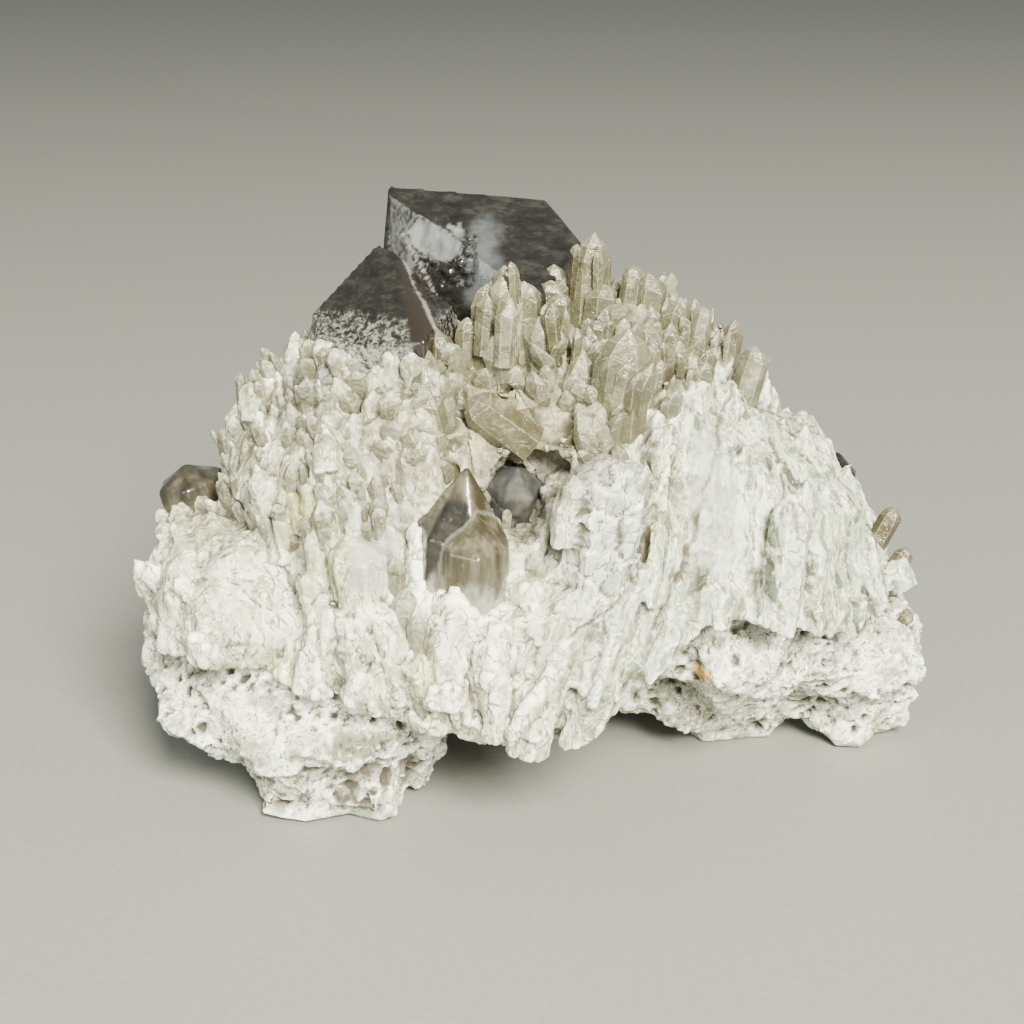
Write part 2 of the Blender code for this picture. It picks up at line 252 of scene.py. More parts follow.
def use_only(piece):
    bpy.ops.object.select_all(action="DESELECT")
    piece.select_set(True)
    bpy.context.view_layer.objects.active = piece


def apply_modifier(piece, kind, **settings):
    use_only(piece)
    step = piece.modifiers.new(kind.title(), kind)
    for name, value in settings.items():
        setattr(step, name, value)
    bpy.ops.object.modifier_apply(modifier=step.name)


def copy_node(name, piece_name):
    """Closed copy of a CAD node's mesh."""
    piece = new_piece(piece_name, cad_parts[name].data.copy())
    piece.data.materials.clear()
    use_only(piece)
    bpy.ops.object.mode_set(mode="EDIT")
    bpy.ops.mesh.select_all(action="SELECT")
    bpy.ops.mesh.remove_doubles(threshold=1e-6)
    bpy.ops.object.mode_set(mode="OBJECT")
    return piece


def remesh(piece, step):
    apply_modifier(piece, "REMESH", mode="VOXEL", voxel_size=step * MM)


def relief_of(mesh, rounds):
    """How far each point stands above the softened surface, in millimetres."""
    places = read_places(mesh)
    smooth = soften(places, read_links(mesh), rounds)
    return ((places - smooth) * read_normals(mesh)).sum(axis=1)


# Crystals

class Crystals:
    """Many six-sided crystals gathered into one mesh."""

    def __init__(self):
        self.corners = []
        self.faces = []
        self.tints = []
        self.tips = []
        self.heights = []
        self.coats = []

    def add(self, tip, way, radius, point, prism, outward, turn=0.0, flat=1.0, lean=(0.0, 0.0), steps=0.25,
            tint=0.5, root=0.85, blunt=0.4, coat=0.0):
        """One crystal with its apex at the tip and a flat side turned outwards.

        Flat squeezes it that way, steps makes every second end face larger, root is the lower end's width beside
        the radius, and a blunt end above 0.4 is rounded.
        """
        axis = Vector(way).normalized()
        side_way = Vector(outward).cross(axis).normalized()
        turned = Matrix((side_way, axis.cross(side_way), axis)).transposed() @ Matrix.Rotation(turn, 3, "Z")
        base = len(self.corners)
        for height, wide, lift in ((-point - prism, root, 0.0), (-point, 1.0, steps * point),
                                   (-0.4 * point, blunt, 0.0)):
            for side in range(6):
                around = side * math.pi / 3
                shift = 0.6 if height == -0.4 * point else 0.0
                corner = Vector((radius * (wide * math.cos(around) + shift * lean[0]),
                                 radius * (wide * flat * math.sin(around) + shift * lean[1]),
                                 height + lift * (1 if side % 2 else -1)))
                self.corners.append(Vector(tip) + turned @ corner)
        self.corners.append(Vector(tip) + turned @ Vector((lean[0] * radius, lean[1] * radius, 0.0)))
        self.heights += [0.0] * 6 + [0.3] * 6 + [0.8] * 6 + [1.0]
        self.faces.append([base + side for side in reversed(range(6))])
        for side in range(6):
            after = (side + 1) % 6
            for ring in (base, base + 6):
                self.faces.append([ring + side, ring + after, ring + 6 + after, ring + 6 + side])
            self.faces.append([base + 12 + side, base + 12 + after, base + 18])
        self.tints += [tint] * 19
        self.tips += [tuple(tip)] * 19
        self.coats += [coat] * 19

    def mesh(self, name):
        mesh = bpy.data.meshes.new(name)
        mesh.from_pydata([corner * MM for corner in self.corners], [], self.faces)
        return mesh


def ray_tree(nodes):
    """Tree for rays against CAD nodes together, and the node each face is from."""
    shape = bmesh.new()
    owner = []
    for name in nodes:
        shape.from_mesh(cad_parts[name].data)
        owner += [name] * (len(shape.faces) - len(owner))
    tree = BVHTree.FromBMesh(shape)
    shape.free()
    return tree, owner


def surface_places(count, lowest, highest, seed):
    """Places and normals of the crust seen from outside, in even directions from the middle."""
    tree, owner = ray_tree(sorted(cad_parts))
    draw = random.Random(seed)
    golden = math.pi * (3 - math.sqrt(5))
    found = []
    for index in range(count):
        rise = highest - (highest - lowest) * (index + 0.5) / count
        around = index * golden + draw.uniform(-0.02, 0.02)
        flat = math.sqrt(max(1 - rise * rise, 0))
        way = Vector((flat * math.cos(around), flat * math.sin(around), rise))
        start = Vector(GROWTH_CENTRE) * MM + way * 0.15
        place, normal, face, _ = tree.ray_cast(start, -way)
        if place is not None and owner[face] == "crystal_crust":
            found.append((place / MM, normal.copy()))
    return found


def fan_way(place):
    return (place - Vector(FAN_ROOT)).normalized()


def along_surface(way, normal, lift=0.08):
    return (way - normal * (way.dot(normal) - lift)).normalized()


# Clear crystals that show by themselves in front: tip, way, radius, pointed end, flatness, sideways lean, tint

SHOWN_POINTS = [
    ((7.0, -7, 80.6), (0.05, -0.05, 1), 2.8, 4.6, 0.7, -0.2, 0.45),
    ((13.1, -7, 75.9), (0.12, -0.05, 1), 1.6, 1.3, 0.8, 0.2, 0.6),
    ((15.9, -5.5, 74.6), (0.16, -0.05, 1), 2.5, 2.3, 0.7, 0.3, 0.6),
    ((19.6, -6, 71.2), (0.2, -0.05, 1), 2.1, 2.5, 0.7, -0.2, 0.5),
    ((23.3, -5.7, 69.9), (0.22, 0, 1), 1.4, 1.1, 0.9, 0.1, 0.9),
    ((31.2, -5.8, 64.0), (0.28, 0, 1), 2.2, 1.8, 0.8, 0.2, 0.75),
    ((3.1, -5, 74.4), (0.05, -0.1, 1), 2.4, 1.6, 0.7, 0.1, 0.55),
    ((2.2, -13, 73.0), (0.02, -0.2, 1), 1.8, 1.1, 0.8, -0.2, 0.7),
    ((11.2, -21.6, 70.0), (0.08, -0.15, 1), 3.9, 4.4, 0.6, -0.1, 0.5),
    ((15.6, -12, 68.6), (0.15, -0.2, 1), 2.6, 2.4, 0.7, 0.3, 0.45),
    ((10.3, -9.2, 70.8), (0.05, -0.2, 1), 2.1, 0.9, 0.9, 0.0, 0.75),
    ((7.7, -11.1, 68.8), (0.0, -0.3, 1), 1.4, 0.8, 0.9, 0.0, 0.6),
    ((8.5, -8.4, 73.4), (0.08, -0.15, 1), 2.5, 1.5, 0.7, -0.2, 0.5),
    ((-5.0, -15.2, 77.4), (0, -0.05, 1), 2.7, 4.0, 0.7, 0.1, 0.45),
    ((-8.0, -15.6, 75.0), (-0.03, -0.05, 1), 2.1, 2.6, 0.7, -0.2, 0.4),
    ((-2.2, -15.0, 75.3), (0.03, -0.05, 1), 2.2, 2.4, 0.7, 0.2, 0.55),
    ((1.9, -5, 75.8), (0.03, 0, 1), 1.7, 1.8, 0.8, 0.1, 0.5),
    ((1.5, -8, 74.0), (0, -0.1, 1), 2.3, 1.4, 0.7, 0.1, 0.6),
    ((-7.6, -17, 71.9), (0, -0.1, 1), 2.1, 2.2, 0.7, 0.2, 0.4),
    ((-10.6, -17, 70.6), (-0.03, -0.1, 1), 1.6, 1.8, 0.7, -0.2, 0.35),
    ((-14.0, -20.4, 69.4), (-0.03, -0.05, 1), 1.9, 2.2, 0.7, 0.1, 0.1),
    ((-10.0, -25.5, 61.0), (-0.75, -0.15, 0.62), 2.9, 1.8, 0.8, 0.0, 0.2),
    ((53.5, 0, 38), (0.5, 0, 1), 1.7, 1.6, 0.8, 0.1, 0.1),
    ((55.2, -3, 32.6), (0.6, -0.1, 1), 1.5, 1.4, 0.8, 0.1, 0.15),
    ((56.6, -1, 22), (0.8, -0.1, 1), 1.6, 1.4, 0.8, 0.1, 0.1),
]


# Clear crystals with a face that mirrors the window light to the front: tip, radius, pointed end, prism

GLINT_POINTS = [
    ((-15.2, -23.0, 67.4), 2.3, 2.8, 3.8),
    ((9.6, -19.8, 66.3), 1.2, 1.2, 1.5),
    ((20.4, -17.8, 66.0), 1.1, 1.0, 1.5),
]


CLEAR_EDGE = [(-22, 58), (-13, 52), (-4, 50), (2, 50), (8, 54), (14, 57), (20, 61), (27, 63), (34, 64)]
HEM = [(-60, 25), (-42, 24.5), (-28, 21), (-12, 16.5), (0, 14.3), (8, 18), (14, 25), (21, 32), (32, 30),
       (46, 23), (60, 22)]


def along_line(values, line):
    """Height of a line of (across, height) points at each value."""
    return np.interp(values, [point[0] for point in line], [point[1] for point in line])


def clear_share(places):
    """Where the crystals are clear and beige rather than coated: the upper right and the hollow in front."""
    wobble = 2.2 * bumps(places, 6, 3) + 1.2 * bumps(places, 2.5, 4)
    high = ease(places[:, 2] + wobble, along_line(places[:, 0], CLEAR_EDGE) - 2,
                along_line(places[:, 0], CLEAR_EDGE) + 2)
    left = ease(places[:, 0] + wobble, -18, -13)
    return left * high * (1 - ease(places[:, 1], 4, 12))


def flank_share(places):
    """Where the fibres of the coating spread downwards from the apex."""
    return ease(places[:, 0], -6, 12) * (1 - ease(places[:, 1], 4, 14))


WARM_PATCHES = [
    ((-14, -25, 57), (7, 8, 9), 0.6),
    ((-21, -26, 54), (6, 8, 5), 0.6),
    ((14.5, -28, 50), (3.5, 8, 8), 0.5),
    ((-48, -14, 40), (6, 8, 6), 0.6),
]


# Places that keep their own large shapes: the coated lump, the hollow beside it and the flat lilac crystal

KEPT_PLAIN = [
    ((8.0, -37, 46), (6.5, 9, 12), 0.2),
    ((-3.5, -30, 48), (6, 9, 6), 0.2),
    ((-22.5, -36, 42), (4.5, 6, 6), 0.2),
]


def fused_crystals(cuts):
    """Crystals under the coating inside the cuts, which the remesh melts into the crust."""
    made = Crystals()
    for index, (place, normal) in enumerate(surface_places(2400, -0.3, 1.0, 7)):
        draw = random.Random(SEED * 5000 + index)
        at = np.array([place])
        flank = flank_share(at)[0] > 0.5
        low = place.z < 38 and place.y < 0
        if any((place - Vector(point)).dot(Vector(looks)) > 0 for point, looks in cuts):
            continue
        if clear_share(at)[0] > 0.5 or spots(at, KEPT_PLAIN)[0] > 0.4:
            continue
        if draw.random() > (0.2 if flank or low else 0.6):
            continue
        hem = along_line(place.x, HEM) if place.y < -5 else 27
        radius = draw.uniform(1.0, 1.7) + 0.9 * draw.random() ** 2
        fan = (Vector(FLANK_APEX) - place).normalized() if flank else fan_way(place)
        fan += Vector((draw.uniform(-0.1, 0.1), draw.uniform(-0.1, 0.1), 0))
        if normal.z < 0.6:
            way = along_surface(fan, normal, draw.uniform(0.03, 0.08) if flank or low else draw.uniform(0.05, 0.22))
            if way.z < 0.4:
                continue
            length = draw.uniform(8, 16) if flank else draw.uniform(5, 9)
            length = min(length, (place.z - hem - 3) / max(way.z, 0.3))
            tip = place + normal * (draw.uniform(-0.6, -0.1) if flank or low else draw.uniform(0.0, 0.8))
        else:
            way = fan
            length = 6
            tip = place + way * draw.uniform(0.3, 1.8)
        if length < 3:
            continue
        point = radius * draw.uniform(0.5, 1.0)
        made.add(tip, way, radius, point, length - point, normal, draw.uniform(-0.35, 0.35),
                 draw.uniform(0.4, 0.7), (draw.uniform(-0.4, 0.4), draw.uniform(-0.35, 0.35)),
                 tint=draw.random(), root=0.55 if flank or low else 0.9)
    draw = random.Random(SEED + 3)
    if cuts == CRUST_PARTS["crust_front_left"][1]:
        for height, ahead in ((66.8, 0.9), (63.2, 2.6), (59.6, 4.0), (56.4, 5.2)):
            for step in range(11):
                share = 6 * min(max((step + draw.uniform(-0.3, 0.3)) / 10, 0), 0.999)
                before, after = WALL_LINE[int(share)], WALL_LINE[int(share) + 1]
                part = share - int(share)
                radius = draw.uniform(1.3, 2.2)
                tip = (before[0] + part * (after[0] - before[0]), before[1] + part * (after[1] - before[1]) - ahead,
                       height + draw.uniform(-1.4, 1.4))
                made.add(tip, (tip[0] * 0.006, -0.12, 1), radius, radius * draw.uniform(0.6, 1.1), 8,
                         (draw.uniform(-0.3, 0.3), -1, 0), 0, draw.uniform(0.6, 0.9),
                         (draw.uniform(-0.4, 0.4), 0.2), tint=draw.random())
        for _ in range(40):
            radius = draw.uniform(0.8, 1.6)
            tip = (draw.uniform(-56, -45), draw.uniform(-19, -7), 0)
            tip = (tip[0], tip[1], 46.5 - 0.45 * (-45 - tip[0]) - 0.5 * (-7 - tip[1]) + draw.uniform(-1.5, 1.0))
            made.add(tip, (-0.35, -0.3, 1), radius, radius, 5, (-0.3, -1, 0), draw.uniform(-0.3, 0.3), 0.8,
                     (draw.uniform(-0.4, 0.4), 0.2), tint=draw.random())
    for tip, radius, lean in LUMP_POINTS:
        if any((Vector(tip) - Vector(point)).dot(Vector(looks)) > 0 for point, looks in cuts):
            continue
        made.add(tip, (0.05, -0.1, 1), radius, 0.8 * radius, 9, (0, -1, 0.1), lean, 0.8, (lean, 0.1), tint=0.6)
    return made


# Patches of the crust, by their middle, reach and softness

GREEN_PATCHES = [
    ((-33, -26, 47), (3.5, 6, 5), 0.5),
    ((-27, -36, 41), (4, 6, 6), 0.5),
    ((-15.4, -38, 27), (2.0, 4, 4.2), 0.3),
    ((21, -21, 24), (3, 6, 3), 0.5),
    ((-36, -28, 24), (9, 6, 2.5), 0.6),
]


LUMP_POINTS = [
    ((3.4, -36.5, 54.6), 2.6, -0.2),
    ((6.6, -36.0, 55.0), 2.4, 0.3),
    ((9.4, -37.0, 56.2), 2.5, -0.1),
    ((11.4, -37.5, 52.5), 2.0, 0.2),
]


# Coated crystals that close round the foot of the smoky pair: their tips

PAIR_COLLAR = [(-19.6, -34.5, 42.0), (-18.4, -36.0, 38.0), (-16.8, -37.6, 35.0), (-14.0, -38.6, 33.6),
               (-11.0, -39.2, 32.2), (-8.2, -39.0, 33.0), (-5.6, -38.4, 33.8), (-3.2, -37.2, 36.0),
               (-1.8, -35.6, 39.5), (-1.4, -33.6, 42.5)]


# The wall of upright crystals below the big smoky one: its line seen from above

WALL_LINE = [(-32.5, -16.4), (-28, -19.8), (-22, -21.9), (-18, -23.7), (-15.5, -24.2), (-13.3, -20.5), (-11.8, -16)]


def crystal_marks(places, made):
    """The tint of the crystal each place belongs to, or -1 where there is none, and how near its tip it is."""
    tree = BVHTree.FromPolygons([tuple(corner) for corner in made.corners], made.faces)
    found = np.full(len(places), -1.0)
    away = np.full(len(places), 99.0)
    for index, place in enumerate(places.tolist()):
        face = tree.find_nearest(place, 0.6)[2]
        if face is not None:
            found[index] = made.tints[face]
            away[index] = math.dist(place, made.tips[face])
    return found, 1 - ease(away, 1.5, 6)


def store_relief(mesh, fine_rounds=5, broad_rounds=70):
    """Store how far each point stands above or below the surface around it, near by and farther off."""
    for name, rounds in (("relief", fine_rounds), ("swell", broad_rounds)):
        relief = relief_of(mesh, rounds)
        store(mesh, name, np.clip(relief / (2 * relief.std()), -1, 1))


def store_lines(mesh, name, lines):
    layer = mesh.attributes.new(name, "FLOAT_VECTOR", "POINT")
    layer.data.foreach_set("vector", np.asarray(lines, np.float32).ravel())


LUMP = ((8.0, -37, 45), (6.5, 9, 12), 0.2)
LILAC_FACE = [(-25.6, 46.9), (-19.6, 47.6), (-19.1, 41.3), (-19.8, 37.1), (-25.8, 38.3)]
PALE_OVAL = [(21, 55), (25, 54), (27, 48), (27, 40), (24.5, 36), (21.5, 39), (20, 47)]
DARK_LINES = [
    [(-26.0, 49.0), (-21.7, 46.6), (-19.1, 43.8), (-17.9, 41.8)],
    [(-36.5, 63), (-38.5, 56), (-42, 50), (-44, 45)],
    [(-37.5, 44), (-36, 39), (-34, 34)],
    [(3.3, 33), (8, 35), (12.5, 39), (13.6, 43)],
    [(12.6, 46), (14.5, 50)],
    [(20.6, 60), (20.8, 66)],
    [(34.5, 62), (33, 52), (34, 44)],
    [(27, 60), (24, 52), (22, 46), (18, 36)],
    [(18, 30), (16.5, 24.5)],
]


def crust_part(name, step, cuts):
    """One part of the crust as a fine closed mesh, with its relief and stains stored on its points."""
    piece = copy_node("crystal_crust", name)
    cut_away(piece, cuts)
    made = fused_crystals(cuts)
    extra = new_piece("extra", made.mesh("extra"))
    use_only(piece)
    extra.select_set(True)
    bpy.context.view_layer.objects.active = piece
    bpy.ops.object.join()
    remesh(piece, step)
    mesh = piece.data
    places = read_places(mesh)
    normals = read_normals(mesh)
    own, tips = crystal_marks(places, made)
    clear = clear_share(places)
    flank = flank_share(places)
    fan = fan_lines(places)
    down = flank_lines(places)
    warp = 0.5 * bumps(places, 2.5, 15)[:, None]
    plates, plate_number = facets(fan + warp, (4.0, 4.0, 8), 12, 0.25)
    chips, _ = facets(fan + warp, (1.6, 1.6, 4), 13, 0.15)
    ribs, rib_number = facets(down + warp, (3.0, 3.0, 16), 14, 0.2)
    fibres = 0.5 - np.abs(bumps(down, (0.8, 0.8, 8), 3))
    low = (1 - ease(places[:, 2], 34, 44)) * (1 - ease(places[:, 1], -6, 2)) * (1 - flank)
    upper = (1 - low) * (1 - flank)
    kept = spots(places, KEPT_PLAIN)
    wavy = places + np.stack([0.8 * bumps(places, 3.0, seed) for seed in (17, 18, 19)], axis=1)
    line = np.max([stroke(wavy, corners, 0.5) for corners in DARK_LINES], axis=0)
    line *= ease(bumps(places, 4.0, 20), -0.4, 0.1)
    rise = upper * (0.25 * plates + 0.2 * chips) + low * (0.6 * plates + 0.25 * chips) - 0.4
    rise += flank * (0.35 * ribs + 0.28 * fibres) + 0.1 * layered(places, 0.9, 8) + 0.35 * bumps(places, 6.0, 9)
    lump = spots(places, [LUMP])
    cavity = near(places, (-3.4, -26.5, 47.5), (7.5, 9, 7), 0.25)
    jagged, _ = facets(places, (2.6, 2.6, 3.4), 21, 0.3)
    rise = rise * (1 - kept) + kept * (0.1 * layered(places, 0.9, 8) - 0.1) + lump * (0.8 * jagged - 0.8)
    rise += cavity * (1.1 * jagged + 0.4 * layered(places, 1.6, 43) - 0.6)
    rise -= 0.3 * line + 1.2 * clear * (1 - kept)
    rise += 0.9 * near(places, (-11, -34, 40), (7.5, 8, 14), 0.3)
    write_places(mesh, places + normals * rise[:, None])
    store_relief(mesh)
    store(mesh, "clear", clear)
    store(mesh, "flank", flank)
    store(mesh, "low", low)
    store(mesh, "line", line)
    store(mesh, "tint", np.where(own >= 0, own, np.where(flank > 0.5, rib_number, plate_number)))
    store(mesh, "green", spots(places, GREEN_PATCHES))
    store(mesh, "lilac", lump)
    store(mesh, "tips", tips * upper)
    store(mesh, "cavity", cavity)
    store(mesh, "warm", spots(places, WARM_PATCHES))
    store(mesh, "plain", np.maximum(patch(places, LILAC_FACE, 0.4), patch(places, PALE_OVAL, 0.8)))
    store_lines(mesh, "fan_lines", fan)
    store_lines(mesh, "flank_lines", down)
    return piece


def cut_away(piece, cuts):
    """Keep the inner side of each cutting plane (point, outward normal), closed again."""
    shape = bmesh.new()
    shape.from_mesh(piece.data)
    for point, looks in cuts:
        parts = shape.verts[:] + shape.edges[:] + shape.faces[:]
        cut = bmesh.ops.bisect_plane(shape, geom=parts, dist=1e-7, plane_co=Vector(point) * MM,
                                     plane_no=Vector(looks), clear_outer=True)
        rim = [edge for edge in cut["geom_cut"] if isinstance(edge, bmesh.types.BMEdge)]
        bmesh.ops.triangle_fill(shape, edges=rim, use_dissolve=False, use_beauty=True, normal=Vector(looks))
    shape.to_mesh(piece.data)
    shape.free()


# Clear points of the upper right

def clear_points():
    """Blunt glassy points: clear ones in the upper right, broken ones in the hollow in front, and more or less
    coated ones on the left."""
    made = Crystals()
    draw = random.Random(SEED + 1)
    for tip, way, radius, point, flat, lean, tint in SHOWN_POINTS:
        made.add(tip, way, radius, point, 13 if tip[2] > 69 else 9, (0.15, -1, 0.1), draw.uniform(-0.3, 0.3), flat,
                 (lean, draw.uniform(-0.2, 0.1)), 0.2, tint, 1.1, 0.66)
    for tip, radius, point, prism in GLINT_POINTS:
        made.add(tip, (0.02, 0.41, 0.91), radius, point, prism, (0.187, -0.897, 0.401), 0, 0.7, (0.1, 0.1), 0.2,
                 0.6, 1.05)
    for ahead, height in enumerate((67.0, 64.2, 61.2, 58.2, 55.2)):
        for step in range(9):
            share = 6 * min(max((step + draw.uniform(-0.4, 0.4)) / 8, 0), 0.999)
            before, after = WALL_LINE[int(share)], WALL_LINE[int(share) + 1]
            part = share - int(share)
            radius = draw.uniform(1.2, 2.2)
            tip = (before[0] + part * (after[0] - before[0]),
                   before[1] + part * (after[1] - before[1]) - 1.2 - 1.4 * ahead, height + draw.uniform(-1.5, 1.5))
            made.add(tip, (tip[0] * 0.006 + draw.uniform(-0.15, 0.15), -0.5, 1), radius, radius * 1.2, 5,
                     (draw.uniform(-0.3, 0.3), -1, 0.2), 0, draw.uniform(0.4, 0.55), (draw.uniform(-0.3, 0.3), 0.1),
                     tint=draw.uniform(0.2, 1.0), blunt=0.7, coat=draw.uniform(0, 0.5))
    for place, normal in surface_places(4200, 0.0, 1.0, 9):
        at = np.array([place])
        if spots(at, KEPT_PLAIN)[0] > 0.5 or place.y > 10:
            continue
        clear = clear_share(at)[0] > 0.4
        coated = not clear and flank_share(at)[0] < 0.3 and place.z > 42 and place.x < 0
        if not clear and not coated or draw.random() > (0.8 if clear else 0.6):
            continue
        broken = clear and place.z < 62 and place.x < 14
        radius = (1.0 + 1.6 * draw.random() ** 1.6) if clear else 0.7 + 1.1 * draw.random() ** 1.5
        way = fan_way(place) + Vector((draw.uniform(-0.12, 0.12), draw.uniform(-0.2, 0.0), 0))
        if broken:
            way += Vector((draw.uniform(-0.8, 0.4), draw.uniform(-0.3, 0.2), 0))
        if normal.z < 0.5:
            way = along_surface(way, normal, draw.uniform(0.3, 0.5))
        way.normalize()
        tip = place + way * draw.uniform(0.5, 2.0 if clear else 3.5) + normal * draw.uniform(0.1, 0.8)
        point, prism = radius * draw.uniform(0.9, 1.7), draw.uniform(6, 8)
        if near(np.array([tip - way * (point + prism)]), (-3.4, -28.5, 48.5), (9, 11, 9))[0] > 0.2:
            continue
        made.add(tip, way, radius, point, prism,
                 normal + Vector((0, -0.5, 0)), draw.uniform(-0.3, 0.3), draw.uniform(0.45, 0.7),
                 (draw.uniform(-0.4, 0.4), draw.uniform(-0.2, 0.2)), 0.2, draw.random(), 0.8,
                 draw.uniform(0.45, 0.7), draw.uniform(0.1, 0.9) if coated else 0.15 * draw.random())
    for tip in PAIR_COLLAR:
        radius = draw.uniform(1.3, 2.0)
        made.add(tip, (draw.uniform(-0.15, 0.15), -0.15, 1), radius, radius * 1.2, 8, (0, -1, 0.2), 0,
                 draw.uniform(0.5, 0.7), (draw.uniform(-0.4, 0.4), 0), 0.2, draw.random(), 0.8, 0.65,
                 draw.uniform(0.3, 0.8))
    piece = new_piece("glassy_points", made.mesh("glassy_points"))
    for name, values in (("tint", made.tints), ("coat", made.coats)):
        shade = piece.data.attributes.new(name, "FLOAT", "FACE")
        shade.data.foreach_set("value", np.array(values, np.float32))
    store(piece.data, "tips", made.heights)
    use_only(piece)
    bpy.ops.object.shade_smooth()
    apply_modifier(piece, "BEVEL", width=0.24 * MM, segments=2, limit_method="NONE", harden_normals=True)
    mesh = piece.data
    ends = np.empty(2 * len(mesh.edges), np.int32)
    around = np.empty(len(mesh.loops), np.int32)
    starts = np.empty(len(mesh.polygons), np.int32)
    mesh.edges.foreach_get("vertices", ends)
    mesh.loops.foreach_get("edge_index", around)
    mesh.polygons.foreach_get("loop_start", starts)
    places = read_places(mesh)[ends.reshape(-1, 2)]
    lengths = np.linalg.norm(places[:, 1] - places[:, 0], axis=1)
    # Bevel faces are marked for a painted highlight on the crystals' edges.
    shade = mesh.attributes.new("edge", "FLOAT", "FACE")
    shade.data.foreach_set("value", (np.minimum.reduceat(lengths[around], starts) < 0.33).astype(np.float32))
    return piece


# Painted shadow under the overhanging hem of the coating, as a line on the front view (across, up)
HEM_SHADOW = [(-28.9, 21.0), (-23.6, 19.9), (-19.5, 19.0), (-14.1, 17.8), (-10.9, 17.3)]


def matrix_body():
    """The rock: rounded lumps, granular and pitted."""
    piece = copy_node("matrix_rock", "matrix_rock_skin")
    remesh(piece, ROCK_STEP)
    mesh = piece.data
    places = read_places(mesh)
    normals = read_normals(mesh)
    footing = ease(places[:, 2], 0.1, 2.0)
    warped = places + 0.8 * np.stack([bumps(places, 3.0, seed) for seed in (24, 25, 26)], axis=1)
    offset, gap, number = grains(warped, 2.0, 21)
    _, small_gap, _ = grains(warped, 1.1, 22)
    lumps, plate = facets(warped, 5.0, 27, 0.3)
    where = ease(bumps(places, 7, 28), -0.5, 0.0)
    pits = where * ease(number, 0.48, 0.53) * (1 - ease(np.linalg.norm(offset, axis=1), 0.22, 0.5))
    rise = 0.9 * layered(places, 7, 20, 2) + 0.6 * lumps - 1.1 * pits - 0.6
    rise += 0.3 * ease(small_gap, 0, 0.35) * (0.4 + 0.6 * where) + 0.25 * layered(places, 1.4, 23)
    rise -= 1.6 * near(warped, (-28, -30, 3), (17, 12, 7), 0.08)
    rise *= footing
    write_places(mesh, places + normals * rise[:, None])
    store_relief(mesh)
    store(mesh, "plate", plate)
    store(mesh, "pits", pits)
    store(mesh, "green", spots(places, [((-25.3, -31.5, 12.7), (5, 5, 2.5), 0.3)]))
    store(mesh, "grain", spots(places, [((22.7, -22, 20.3), (1.6, 3, 1.2), 0.2)]))
    store(mesh, "tan", spots(places, [((28, -6, 12), (18, 10, 10), 0.6), ((0, 0, 10), (30, 20, 10), 0.5)]))
    # Painted shadow: a dark grey band under the hem.
    store(mesh, "hem_shadow", stroke(places, HEM_SHADOW, 2.4))
    return piece


# Smoky crystals

CHIP = [(-17.8, 81.4), (-14.5, 80.2), (-11.4, 78.1), (-12.0, 76.8), (-14.4, 75.6), (-16.7, 76.2), (-18.5, 77.8),
        (-19.1, 79.7)]
SMALL_CHIP = [(-13.4, 80.8), (-11.6, 80.6), (-11.2, 79.6), (-12.6, 79.0)]
PITTED = [(-18.8, 75.7), (-14.5, 75.7), (-11, 79.8), (-8.7, 79.3), (-9.9, 72.4), (-14.5, 71.9), (-18.1, 74.5)]
VEIL = [(-9.9, 80.6), (-7.3, 81.4), (-5.9, 75.7), (-7.6, 70.2), (-10.2, 71.6), (-10.8, 76.0)]
PAIR_DARK = [(-12.4, 52.9), (-13.4, 49.6), (-9.5, 49.0), (-9.4, 47.2), (-10.9, 45.4), (-12.9, 43.8), (-13.9, 41.1),
             (-14.7, 37.8), (-18.6, 38.6), (-18.4, 45.0), (-16.8, 49.0), (-14.6, 50.6)]
LONG_FACE = [(-20.2, 79.5), (-19.4, 79.2), (-12.0, 65.5), (-12.0, 60.0), (-16.8, 60.0), (-17.6, 68.0)]
# Painted highlights along crystal edges, drawn on the front view: strength, then the line (across, up)
EDGE_HIGHLIGHTS = [
    (1.0, [(-20.0, 79.2), (-15.6, 71.6), (-12.2, 65.5)]),
    (0.3, [(-13.9, 38.5), (-13.6, 42.2), (-12.9, 44.3), (-10.8, 45.9), (-8.8, 47.8), (-6.8, 46.8), (-5.0, 45.3),
           (-4.2, 43.8), (-3.7, 40.5)]),
]


